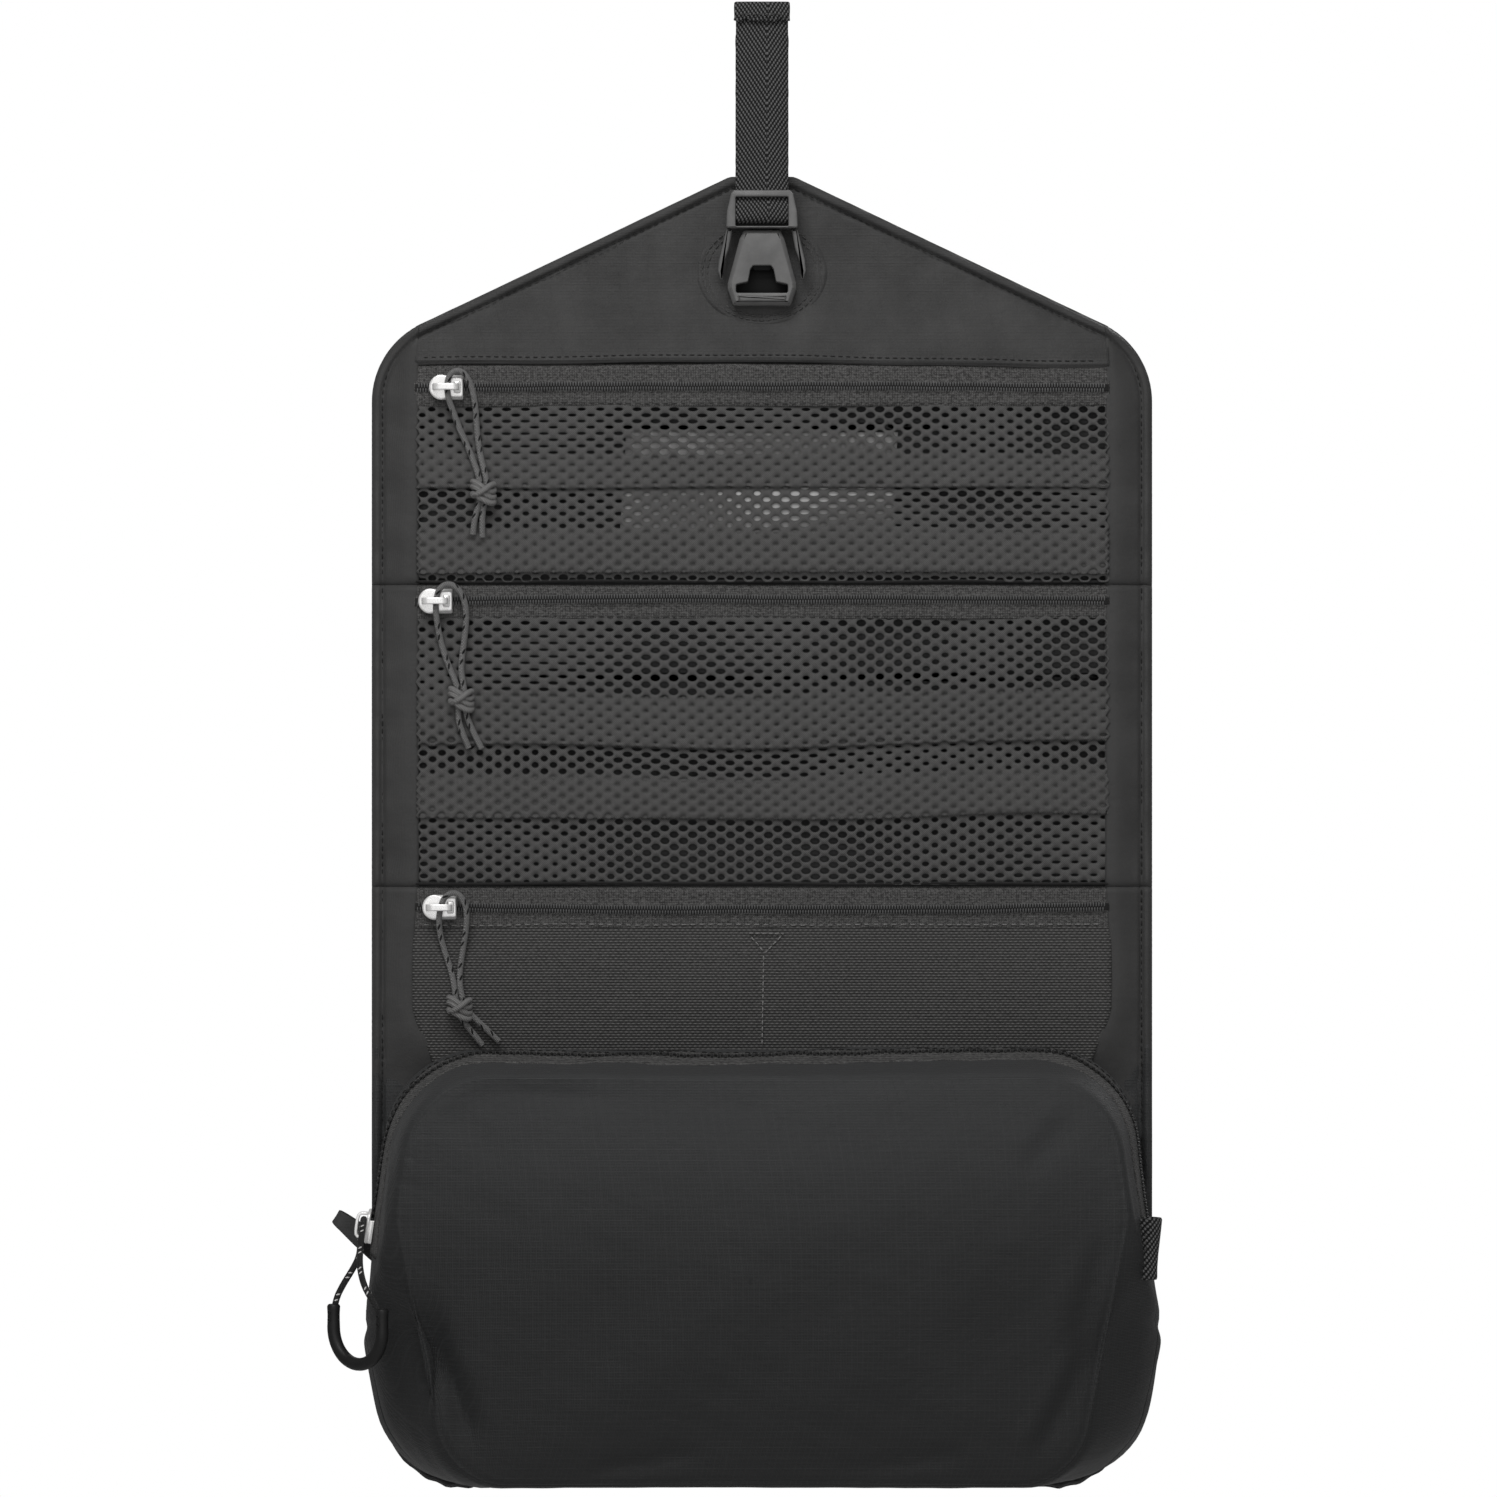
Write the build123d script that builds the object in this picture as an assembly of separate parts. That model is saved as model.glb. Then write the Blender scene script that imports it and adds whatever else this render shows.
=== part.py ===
"""Hanging toiletry bag: a flap on a webbing hang loop, two mesh pockets, a knit pocket and a zipped pouch.

Millimetres. +Z is up, the front faces -Y, and the origin is the centre of the hang loop's top bend.
Each sub-part is written to parts/NODE.step.
"""

from build123d import *
import math
import os

# ---- driving dimensions -------------------------------------------------------------------------
HALF_WIDTH = 145.0  # half the width of the unrolled panels
APEX_Z = -48.5  # top edge of the flap
APEX_HALF = 12.0  # half of the flat at the apex
SHOULDER_Z = -112.0  # where the flap's slope would meet the side edge
SHOULDER_R = 32.0
BOTTOM_Z = -538.0
BOTTOM_R = 34.0

FLAP_FOLD_Z = -118.0  # fold lines, top to bottom
UPPER_FOLD_Z = -200.0
LOWER_FOLD_Z = -312.0
POUCH_FOLD_Z = -372.0
FOLD_GAP = 0.3  # left between sections that fold against each other

LOOP_R = 3.0  # inner radius of the hang loop's top bend
WEB_T = 1.4
WEB_W = 19.6
CLEAR = 0.3

Y_BACK = LOOP_R  # back face of every panel
PANEL_T = 1.2
Y_PANEL = Y_BACK - PANEL_T  # front face of the back panels
Y_POCKET_BACK = -2.8  # inner face of the pocket fronts
Y_POCKET = -3.6  # outer face of the pocket fronts and zipper tapes
COIL_T = 1.8
COIL_W = 4.4

WINDOW_HALF = 127.5  # half the width between the side borders
LABEL_W, LABEL_H, LABEL_T = 101.0, 37.0, 0.3

# zipper name: (fold line above, coil height, lower edge of the tape, x of the slider)
ZIPS = {
    "top": (FLAP_FOLD_Z, -127.2, -134.0, -117.0),
    "mid": (UPPER_FOLD_Z, -206.4, -213.0, -121.0),
    "low": (LOWER_FOLD_Z, -319.8, -327.5, -119.5),
}
SECTION_BOTTOM = {"top": UPPER_FOLD_Z, "mid": LOWER_FOLD_Z, "low": POUCH_FOLD_Z}

POUCH_FRONT_Y = -56.0
POUCH_WALL = 1.2
ZIP_PLANE_Y = -28.9  # where the two halves of the main zipper meet
ZIP_TAPE = 11.0  # width of each half of its tape
ZIP_END_Z = -446.0  # where the main zipper ends on both sides
BEAD_R = 1.7  # half of the main zipper's coil, as a bead
MAIN_SLIDER_Z = -436.0
TAB_Z = (-456.0, -436.0)
TAB_GAP = 5.0
TAB_PLACE = {-1: (-15.5, 157.0), 1: (-22.5, 153.0)}  # side: middle of the loop in y, how far out it reaches

CORD_D = 2.2
FAR = 200.0  # beyond everything, for cutting blocks


# ---- helpers ------------------------------------------------------------------------------------
def block(x, y, z):
    """A box from three (low, high) pairs."""
    lows_highs = [sorted(pair) for pair in (x, y, z)]
    centre = [(low + high) / 2 for low, high in lows_highs]
    size = [high - low for low, high in lows_highs]
    return Pos(*centre) * Box(*size)


def prism_front(points, y_back, y_front, radii=None):
    """An outline of (x, z) points, extruded from y_back forwards to y_front."""
    wire = FilletPolyline(*points, radius=radii or [0] * len(points), close=True)
    sketch = Plane.XZ.offset(-y_back) * make_face(wire)
    return extrude(sketch, amount=y_back - y_front)


def prism_side(points, x_low, x_high):
    """An outline of (y, z) points, extruded from x_low to x_high."""
    sketch = Plane.YZ.offset(x_low) * make_face(Polyline(*points, close=True))
    return extrude(sketch, amount=x_high - x_low)


def body_outline(y_back, y_front, inset=0.0):
    """The whole unrolled outline, as thick as asked."""
    half, low = HALF_WIDTH - inset, BOTTOM_Z + inset
    points = [
        (-APEX_HALF, APEX_Z - inset),
        (APEX_HALF, APEX_Z - inset),
        (half, SHOULDER_Z - inset),
        (half, low),
        (-half, low),
        (-half, SHOULDER_Z - inset),
    ]
    radii = [5, 5, SHOULDER_R, BOTTOM_R, BOTTOM_R, SHOULDER_R]
    return prism_front(points, y_back, y_front, radii)


def band(solid, high, low):
    """The part of a solid between two fold lines, with the fold gap left out."""
    room = block((-200, 200), (-90, 30), (low + FOLD_GAP / 2, high - FOLD_GAP / 2))
    return solid & room


# ---- hang strap and buckle ----------------------------------------------------------------------
LADDER_BAR_Z = (-64.4, -60.6)  # the bar that the webbing turns round
TOP_BAR_Z = (-57.2, -55.0)
MALE_LOW_Z = -68.5
SPLIT_Z = -14.0  # the strap's moving half starts here
LOAD_Y = (-LOOP_R - WEB_T, -LOOP_R)
BAR_Y = (-7.2, LOAD_Y[0] - 0.2)
TAIL_Y = (LOAD_Y[0] - 0.15 - WEB_T, LOAD_Y[0] - 0.15)
WRAP_Y = (BAR_Y[0] - 0.2 - WEB_T, BAR_Y[0] - 0.2)
STOP_Z = (9.0, 15.8)


def strap_loop():
    """Webbing from its box stitch behind the flap, over the top bend and down in front."""
    outer, inner = LOOP_R + WEB_T, LOOP_R
    half = WEB_W / 2
    rear = block((-half, half), (inner, outer), (-86, 0))
    front = block((-half, half), (-outer, -inner), (SPLIT_Z, 0))
    ring = Rot(0, 90, 0) * (Cylinder(outer, WEB_W) - Cylinder(inner, WEB_W))
    bend = ring & block((-half, half), (-outer, outer), (0, outer))
    return rear + front + bend


def strap_tail():
    """Webbing from the front of the loop, round the buckle's bar and back up to its folded end."""
    half = WEB_W / 2 - 0.1
    load = block((-half, half), LOAD_Y, (LADDER_BAR_Z[0] - 1.6, SPLIT_Z - 0.05))
    turn = block((-half, half), (WRAP_Y[0], LOAD_Y[1]), (LADDER_BAR_Z[0] - 1.6, LADDER_BAR_Z[0] - 0.2))
    wrap = block((-half, half), WRAP_Y, (LADDER_BAR_Z[0] - 1.6, LADDER_BAR_Z[1] + 0.6))
    cross = prism_side(
        [
            (WRAP_Y[0], LADDER_BAR_Z[1] + 0.6),
            (WRAP_Y[1], LADDER_BAR_Z[1] + 0.2),
            (TAIL_Y[1], TOP_BAR_Z[0] - 0.2),
            (TAIL_Y[0], TOP_BAR_Z[0] - 0.2),
        ],
        -half,
        half,
    )
    tail = block((-half, half), TAIL_Y, (TOP_BAR_Z[0] - 0.2, STOP_Z[1]))
    stop = block((-half, half), (TAIL_Y[0] - WEB_T, TAIL_Y[1]), STOP_Z)
    return load + turn + wrap + cross + tail + stop


def buckle_male():
    """Ladder frame, its two bars and the tongue that slides into the female half."""
    rails = []
    for side in (-1, 1):
        rails.append(
            prism_front(
                [
                    (side * 10.2, TOP_BAR_Z[1]),
                    (side * 11.0, TOP_BAR_Z[1]),
                    (side * 12.6, -62.0),
                    (side * 12.9, MALE_LOW_Z),
                    (side * 10.2, MALE_LOW_Z),
                ],
                -2.0,
                -9.0,
            )
        )
    top_bar = block((-10.4, 10.4), (TAIL_Y[0] - 0.2, -9.0), TOP_BAR_Z)
    ladder_bar = block((-10.4, 10.4), BAR_Y, LADDER_BAR_Z)
    base = block((-12.9, 12.9), (-2.6, -7.4), (MALE_LOW_Z, MALE_LOW_Z + 2.0))
    tongue = block((-4.0, 4.0), (-3.2, -5.4), (-84.0, MALE_LOW_Z))
    return rails[0] + rails[1] + top_bar + ladder_bar + base + tongue


def squeeze_arm(side):
    """One of the two springy arms, which latches outside the female half."""
    return prism_front(
        [
            (side * 11.4, MALE_LOW_Z - 0.3),
            (side * 12.9, MALE_LOW_Z - 0.3),
            (side * 16.0, -82.8),
            (side * 16.2, -84.4),
            (side * 14.6, -87.6),
            (side * 14.0, -86.8),
            (side * 15.0, -84.2),
            (side * 14.6, -82.8),
        ],
        -2.8,
        -6.8,
    )


def buckle_female():
    """Bevelled plate with the keyhole cut-out, hollow for the tongue, and its bottom bar."""
    plate = prism_front(
        [(-7.0, -69.2), (7.0, -69.2), (12.4, -89.2), (9.8, -96.7), (-9.8, -96.7), (-12.4, -89.2)],
        1.0,
        -7.4,
    )
    plate = chamfer(plate.faces().sort_by(Axis.Y)[0].edges(), 1.1)
    keyhole = prism_front([(-3.4, -82.3), (3.4, -82.3), (5.0, -89.0), (-5.0, -89.0)], -4.2, -9.0)
    slot = block((-9.6, 9.6), (2.0, -9.0), (-92.4, -89.0))
    sleeve = block((-4.3, 4.3), (-2.9, -5.7), (-88.9, -60))
    return plate - keyhole - slot - sleeve


def buckle_tab():
    """Webbing tab sewn to the flap, which holds the female half by its bottom bar."""
    half = 9.3
    return block((-half, half), (Y_PANEL - 0.7, Y_PANEL), (-101.0, -84.0))


def buckle_patch():
    """Oval reinforcement sewn over the flap under the buckle."""
    oval = Plane.XZ.offset(-Y_PANEL) * Pos(0, -84.0) * Ellipse(25.0, 20.5)
    return extrude(oval, amount=0.5) - buckle_tab()


# ---- panels -------------------------------------------------------------------------------------
def flap_back():
    return band(body_outline(Y_BACK, Y_BACK - 0.6), 0, FLAP_FOLD_Z)


def flap_front():
    """The flap's outer fabric, which comes forward at the bottom to meet the zipper tape."""
    profile = [
        (Y_BACK - 0.6, APEX_Z + 1),
        (Y_PANEL, APEX_Z + 1),
        (Y_PANEL, -106.0),
        (Y_POCKET, FLAP_FOLD_Z),
        (Y_BACK - 0.6, FLAP_FOLD_Z),
    ]
    thick = prism_side(profile, -HALF_WIDTH - 5, HALF_WIDTH + 5)
    return band(body_outline(Y_BACK - 0.6, Y_POCKET - 1, inset=0.0) & thick, 0, FLAP_FOLD_Z)


def back_panel(high, low):
    return band(body_outline(Y_BACK, Y_PANEL), high, low)


def side_border(side, high, low):
    """The smooth facing down one side, thick at its inner edge and thin at the hem."""
    points = [
        (side * WINDOW_HALF, Y_PANEL),
        (side * WINDOW_HALF, Y_POCKET),
        (side * (WINDOW_HALF + 5.0), Y_POCKET),
        (side * HALF_WIDTH, Y_PANEL - 1.0),
        (side * HALF_WIDTH, Y_PANEL),
    ]
    sketch = Plane.XY.offset(low) * make_face(Polyline(*points, close=True))
    strip = extrude(sketch, amount=high - low)
    return band(strip & body_outline(Y_PANEL, Y_POCKET - 1), high, low)


def pocket_zip_tape(name):
    """Zipper tape across the pocket's mouth, turned back to the panel at its top edge."""
    fold, _, low, _ = ZIPS[name]
    high = fold - FOLD_GAP / 2
    half = WINDOW_HALF
    face = block((-half, half), (Y_POCKET_BACK, Y_POCKET), (low, high))
    turned = block((-half, half), (Y_PANEL, Y_POCKET_BACK), (high - 1.0, high))
    return face + turned


def pocket_zip_coil(name):
    _, coil_z, _, _ = ZIPS[name]
    bar = block((-126.0, 126.0), (Y_POCKET, Y_POCKET - COIL_T), (coil_z - COIL_W / 2, coil_z + COIL_W / 2))
    long_edges = bar.edges().filter_by(Axis.X).sort_by(Axis.Y)[:2]
    return fillet(long_edges, 0.8)


def pocket_front(name):
    """A pocket's front cloth, turned back to the panel along the section's lower edge."""
    _, _, high, _ = ZIPS[name]
    low = SECTION_BOTTOM[name] + FOLD_GAP / 2
    half = WINDOW_HALF
    face = block((-half, half), (Y_POCKET_BACK, Y_POCKET), (low, high))
    turned = block((-half, half), (Y_PANEL, Y_POCKET_BACK), (low, low + 1.2))
    return face + turned


def label_patch():
    """Blank cloth patch on the panel behind the top mesh."""
    return block((-LABEL_W / 2, LABEL_W / 2), (Y_PANEL, Y_PANEL - LABEL_T), (-180.5, -180.5 + LABEL_H))


# ---- pocket sliders and their cord pulls --------------------------------------------------------
SLIDER_L, SLIDER_W = 12.6, 9.4
PLATE_T = 1.2
PLATE_Y = Y_POCKET - COIL_T - CLEAR - PLATE_T  # outer face of the slider's plate
EYE = 2.9  # room for the cord under the bail
BAIL_Y = PLATE_Y - EYE - 1.2  # outer face of the bail
EYE_Y = PLATE_Y - EYE / 2


def pocket_slider(name):
    """Slider that clasps the coil from the front, with a round nose and a bail along it."""
    _, z, _, x = ZIPS[name]
    half_l, half_w = SLIDER_L / 2, SLIDER_W / 2
    coil_face = Y_POCKET - COIL_T
    plate = block((x - half_l, x + half_l), (coil_face - CLEAR, PLATE_Y), (z - half_w, z + half_w))
    plate = fillet(plate.edges().filter_by(Axis.Y).sort_by(Axis.X)[:2], 3.6)
    for side in (-1, 1):
        lip_z = (z + side * (COIL_W / 2 + 0.4), z + side * half_w)
        plate += block((x - 2.5, x + half_l), (Y_POCKET - CLEAR, coil_face - CLEAR), lip_z)
    bail = block((x - 4.8, x + 4.8), (PLATE_Y, BAIL_Y), (z - 1.2, z + 1.2))
    bail -= block((x - 3.6, x + 3.6), (PLATE_Y, PLATE_Y - EYE), (z - 3, z + 3))
    return plate + bail


def cord(route, diameter, radii_report):
    """A cord's tube: straight runs joined by arcs as large as the runs allow."""
    points = [Vector(*p) for p in route]
    runs = [(b - a) for a, b in zip(points, points[1:])]
    radii = []
    for before, after in zip(runs, runs[1:]):
        turn = math.radians(before.get_angle(after))
        radii.append(0.45 * min(before.length, after.length) / math.tan(turn / 2))
    path = FilletPolyline(*points, radius=radii)
    section = Plane(origin=path @ 0, z_dir=path % 0) * Circle(diameter / 2)
    tube = sweep(section, path=path)
    expected = math.pi * diameter**2 / 4 * path.length
    print(
        radii_report,
        "length %.1f" % path.length,
        "tightest radius %.2f" % min(radii),
        "volume share %.4f" % (tube.volume / expected),
    )
    return tube


# Routes of the pocket pulls' cords, from one tail up a leg, behind the bail, over and down to the other
# tail: (across, towards the panel, up) from the middle of the bail's eye.
PULL_ROUTES = {
    "top": [
        (10.0, 2.4, -54.5),
        (10.5, 1.6, -49.0),
        (12.2, 0.9, -43.8),
        (13.0, 0.7, -38.6),
        (12.2, 1.4, -33.2),
        (10.3, 2.2, -27.6),
        (7.7, 2.5, -21.4),
        (5.0, 2.2, -15.4),
        (2.8, 1.3, -9.4),
        (0.9, 0.2, -4.2),
        (0.4, 0.0, 0.6),
        (1.4, -0.1, 4.8),
        (4.6, -0.3, 6.4),
        (7.8, -0.4, 4.2),
        (9.9, 0.1, -0.8),
        (11.0, 1.1, -7.2),
        (11.4, 2.0, -14.4),
        (12.0, 2.3, -21.6),
        (13.4, 1.9, -28.2),
        (15.0, 1.1, -34.0),
        (15.2, 0.7, -39.4),
        (13.9, 1.0, -44.6),
        (13.3, 1.8, -50.2),
        (13.5, 2.4, -55.6),
    ],
    "mid": [
        (12.4, 2.4, -54.4),
        (10.4, 1.7, -49.4),
        (8.7, 1.0, -44.6),
        (8.6, 0.7, -39.6),
        (9.0, 0.8, -34.4),
        (7.4, 1.5, -29.4),
        (4.9, 2.2, -23.8),
        (2.7, 2.2, -17.6),
        (1.2, 1.4, -10.8),
        (0.3, 0.3, -4.6),
        (0.4, 0.0, 0.6),
        (1.6, -0.1, 4.8),
        (5.0, -0.3, 6.6),
        (8.6, -0.4, 4.8),
        (11.2, 0.0, 0.0),
        (11.7, 1.0, -6.6),
        (10.9, 1.9, -13.8),
        (9.9, 2.2, -20.6),
        (9.6, 1.6, -26.8),
        (10.8, 0.8, -32.2),
        (11.2, 0.6, -37.4),
        (11.6, 1.0, -42.4),
        (14.0, 1.8, -48.4),
        (17.2, 2.4, -54.6),
    ],
    "low": [
        (16.0, 2.4, -51.0),
        (13.0, 1.8, -47.2),
        (9.8, 1.2, -43.2),
        (7.0, 0.8, -39.0),
        (6.2, 0.8, -34.2),
        (5.6, 1.4, -28.6),
        (4.1, 2.1, -22.4),
        (2.0, 2.1, -16.2),
        (0.3, 1.3, -10.0),
        (-0.1, 0.2, -4.2),
        (0.6, 0.0, 0.4),
        (2.2, -0.1, 4.2),
        (5.6, -0.3, 5.8),
        (8.8, -0.4, 3.8),
        (10.4, 0.1, -1.4),
        (10.1, 1.1, -7.8),
        (9.0, 1.9, -14.6),
        (7.9, 2.1, -21.2),
        (7.5, 1.5, -27.4),
        (8.4, 0.8, -32.8),
        (9.8, 0.6, -37.4),
        (13.2, 1.2, -41.0),
        (17.4, 1.9, -45.0),
        (22.0, 2.4, -49.6),
    ],
}
KNOTS = {"top": (13.9, 0.7, -39.0), "mid": (9.7, 0.7, -36.4), "low": (7.6, 0.7, -37.2)}
KNOT_R = (5.0, 3.6, 5.2)


def from_eye(name, place):
    """A place given from the middle of a bail's eye, in the part's frame."""
    _, z, _, x = ZIPS[name]
    across, inwards, up = place
    return (x + across, EYE_Y + inwards, z + up)


def pull_points(name):
    return [from_eye(name, place) for place in PULL_ROUTES[name]]


def pull_knot(name):
    """Overhand knot in the doubled cord, as its outer shape."""
    return Pos(*from_eye(name, KNOTS[name])) * scale(Sphere(1.0), by=KNOT_R)


# ---- main slider, its cord and its grip ---------------------------------------------------------
SIDE_LEAN = 8.0  # degrees that the pouch's sides lean in towards the top
SIDE_X = 141.75  # half the pouch's width at the main slider's height
BEAD_OUT = 1.5  # how far the main zipper's coil stands out
GRIP_D = 4.7
GRIP_LEFT = (-156.0, -40.0)
GRIP_RIGHT = (-137.2, -57.2)
GRIP_TOP_Z, GRIP_ARC_Z = -466.8, -477.5
MAIN_CORD_D = 2.3
MAIN_CORD_ROUTE = [
    (-156.0, -40.0, -466.8),
    (-155.4, -39.6, -461.8),
    (-152.8, -37.4, -456.4),
    (-149.4, -33.8, -451.0),
    (-147.4, -29.2, -446.8),
    (-147.5, -24.4, -442.8),
    (-147.1, -22.4, -438.4),
    (-145.9, -24.6, -434.6),
    (-145.8, -28.4, -433.0),
    (-145.9, -32.4, -433.8),
    (-145.9, -35.8, -437.2),
    (-146.4, -39.4, -442.8),
    (-146.2, -45.2, -449.2),
    (-144.2, -51.0, -455.6),
    (-140.2, -55.6, -461.4),
    (-137.2, -57.2, -466.8),
]


def main_slider():
    """Slider on the main zipper's left end, leaning with the pouch's side."""
    plate_out = BEAD_OUT + CLEAR + PLATE_T
    half_l, half_w = SLIDER_L / 2, SLIDER_W / 2
    plate = block((-plate_out, -plate_out + PLATE_T), (-half_w, half_w), (-half_l, half_l))
    plate = fillet(plate.edges().filter_by(Axis.X).sort_by(Axis.Z)[-2:], 3.6)
    for side in (-1, 1):
        lip_y = (side * (BEAD_R + 0.5), side * half_w)
        plate += block((-plate_out + PLATE_T, -CLEAR), lip_y, (-half_l, 2.5))
    bail = block((-plate_out - EYE - 1.2, -plate_out), (-1.2, 1.2), (-2.6, 7.0))
    bail -= block((-plate_out - EYE, -plate_out), (-3, 3), (-1.4, 5.8))
    place = Pos(-SIDE_X, ZIP_PLANE_Y, MAIN_SLIDER_Z) * Rot(0, SIDE_LEAN, 0)
    return place * (plate + bail)


def pull_grip():
    """U-shaped grip, which the cord's two ends go into."""
    half = math.dist(GRIP_LEFT, GRIP_RIGHT) / 2
    middle = [(a + b) / 2 for a, b in zip(GRIP_LEFT, GRIP_RIGHT)]
    turn = math.degrees(math.atan2(GRIP_RIGHT[1] - GRIP_LEFT[1], GRIP_RIGHT[0] - GRIP_LEFT[0]))
    drop = GRIP_TOP_Z - GRIP_ARC_Z
    bow = Rot(90, 0, 0) * Torus(half, GRIP_D / 2)
    bow &= block((-FAR, FAR), (-FAR, FAR), (-FAR, 0))
    arms = [Pos(side * half, 0, drop / 2) * Cylinder(GRIP_D / 2, drop) for side in (-1, 1)]
    return Pos(middle[0], middle[1], GRIP_ARC_Z) * Rot(0, 0, turn) * (bow + arms[0] + arms[1])


# ---- pouch --------------------------------------------------------------------------------------
def pouch_ring(y, top, top_half, side_half, wide, wide_z, low_half, low, r_top, r_low):
    """One cross outline of the pouch, in the XZ plane at y."""
    points = [
        (-top_half, top),
        (top_half, top),
        (wide, wide_z),
        (low_half, low),
        (-low_half, low),
        (-wide, wide_z),
    ]
    radii = [r_top, r_top, side_half, r_low, r_low, side_half]
    wire = FilletPolyline(*points, radius=radii, close=True)
    return Plane.XZ.offset(-y) * make_face(wire)


def pouch_solid(inset=0.0):
    """The pouch's outer volume, or its inside for an inset of the wall."""
    i = inset
    back = pouch_ring(Y_PANEL, -373.0 - i, 138 - i, 30, 145.0 - i, -470, 140 - i, -537.5 + i, 34 - i, 30 - i)
    middle = pouch_ring(ZIP_PLANE_Y, -374.0 - i, 133 - i, 30, 146.5 - i, -470, 141 - i, -537.5 + i, 36 - i, 28 - i)
    front = pouch_ring(POUCH_FRONT_Y + i, -379.0 - i, 126 - i, 30, 134.5 - i, -430, 116 - i, -529.0 + i, 32 - i, 26 - i)
    return loft([back, middle, front], ruled=True)


SEAM_BACK_Y = ZIP_PLANE_Y + BEAD_R + ZIP_TAPE
SEAM_FRONT_Y = ZIP_PLANE_Y - BEAD_R - ZIP_TAPE


def pouch_pieces():
    """Gusset halves, zipper tapes, coil halves and front panel, cut from one shell."""
    shell = pouch_solid() - pouch_solid(POUCH_WALL)
    half_gap = FOLD_GAP / 2
    above = (ZIP_END_Z + half_gap, -300)
    bead = pouch_solid(-BEAD_OUT) - pouch_solid(0.0)
    back_split, front_split = ZIP_PLANE_Y + half_gap, ZIP_PLANE_Y - half_gap

    gusset_back = shell & (
        block((-FAR, FAR), (SEAM_BACK_Y, Y_PANEL), (-600, -300))
        + block((-FAR, FAR), (back_split, SEAM_BACK_Y), (-600, ZIP_END_Z))
    )
    tape_back = shell & block((-FAR, FAR), (back_split, SEAM_BACK_Y), above)
    coil_back = bead & block((-FAR, FAR), (back_split, ZIP_PLANE_Y + BEAD_R), above)
    tape_y, slider_top = (front_split, SEAM_FRONT_Y), MAIN_SLIDER_Z + SLIDER_L / 2 + 1
    tape_front = shell & (
        block((-FAR, 0), tape_y, (slider_top, above[1])) + block((0, FAR), tape_y, above)
    )
    tape_end = shell & block((-FAR, 0), tape_y, (above[0], slider_top - half_gap))
    front_bead = (front_split, ZIP_PLANE_Y - BEAD_R)
    coil_front = bead & (
        block((-FAR, 0), front_bead, (slider_top, above[1]))
        + block((0, FAR), front_bead, above)
    )
    inner_y = POUCH_FRONT_Y + POUCH_WALL
    high, low = (ZIP_END_Z + half_gap, -300), (-600, ZIP_END_Z - half_gap)
    return {
        "pouch_back_gusset": gusset_back,
        "main_zip_tape_back": tape_back,
        "main_zip_coil_back": coil_back,
        "main_zip_coil_front": coil_front,
        "main_zip_tape_front": tape_front,
        "main_zip_tape_end": tape_end,
        "front_gusset_upper": shell & block((-FAR, FAR), (SEAM_FRONT_Y, inner_y), high),
        "front_gusset_lower": shell & block((-FAR, FAR), (back_split, inner_y), low),
        "front_panel_upper": shell & block((-FAR, FAR), (inner_y, POUCH_FRONT_Y - 1), high),
        "front_panel_lower": shell & block((-FAR, FAR), (inner_y, POUCH_FRONT_Y - 1), low),
    }


def side_tab(side):
    """Folded webbing loop by the zipper's end, standing out from the gusset."""
    y_mid, reach = TAB_PLACE[side]
    half = TAB_GAP / 2 + WEB_T
    loop = block((side * 138.0, side * reach), (y_mid - half, y_mid + half), TAB_Z)
    upright = loop.edges().filter_by(Axis.Z).sort_by(Axis.X)
    loop = fillet(upright[-2:] if side > 0 else upright[:2], half - 0.3)
    room = (y_mid - TAB_GAP / 2, y_mid + TAB_GAP / 2)
    loop -= block((side * 100.0, side * (reach - WEB_T)), room, (TAB_Z[0] - 1, TAB_Z[1] + 1))
    return loop - pouch_solid()


def main():
    os.makedirs("parts", exist_ok=True)
    nodes = {
        "strap_loop": strap_loop(),
        "strap_tail": strap_tail(),
        "buckle_male": buckle_male(),
        "squeeze_arm_left": squeeze_arm(-1),
        "squeeze_arm_right": squeeze_arm(1),
        "buckle_female": buckle_female(),
        "buckle_tab": buckle_tab(),
        "buckle_patch": buckle_patch(),
        "flap_back": flap_back(),
        "flap_front": flap_front(),
        "label_patch": label_patch(),
        "pouch_back_panel": back_panel(POUCH_FOLD_Z, BOTTOM_Z - 5),
    }
    for name, (fold, _, _, _) in ZIPS.items():
        low = SECTION_BOTTOM[name]
        nodes[name + "_back_panel"] = back_panel(fold, low)
        nodes[name + "_border_left"] = side_border(-1, fold, low)
        nodes[name + "_border_right"] = side_border(1, fold, low)
        nodes[name + "_zip_tape"] = pocket_zip_tape(name)
        nodes[name + "_zip_coil"] = pocket_zip_coil(name)
        nodes[name + "_pocket_front"] = pocket_front(name)
        nodes[name + "_zip_slider"] = pocket_slider(name)
        nodes[name + "_pull_cord"] = cord(pull_points(name), CORD_D, name + "_pull_cord")
        nodes[name + "_pull_knot"] = pull_knot(name)
    nodes.update(pouch_pieces())
    nodes["main_slider"] = main_slider()
    nodes["main_pull_cord"] = cord(MAIN_CORD_ROUTE, MAIN_CORD_D, "main_pull_cord")
    nodes["main_pull_grip"] = pull_grip()
    nodes["side_tab_left"] = side_tab(-1)
    nodes["side_tab_right"] = side_tab(1)
    for name, solid in nodes.items():
        export_step(solid, "parts/" + name + ".step")


main()
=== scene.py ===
"""Looks of the hanging toiletry bag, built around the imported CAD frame.

Lengths are in mm until a mesh is made.
"""

import math

import bmesh
import bpy
import numpy as np
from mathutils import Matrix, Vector
from mathutils.geometry import tessellate_polygon
from mathutils.kdtree import KDTree


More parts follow.
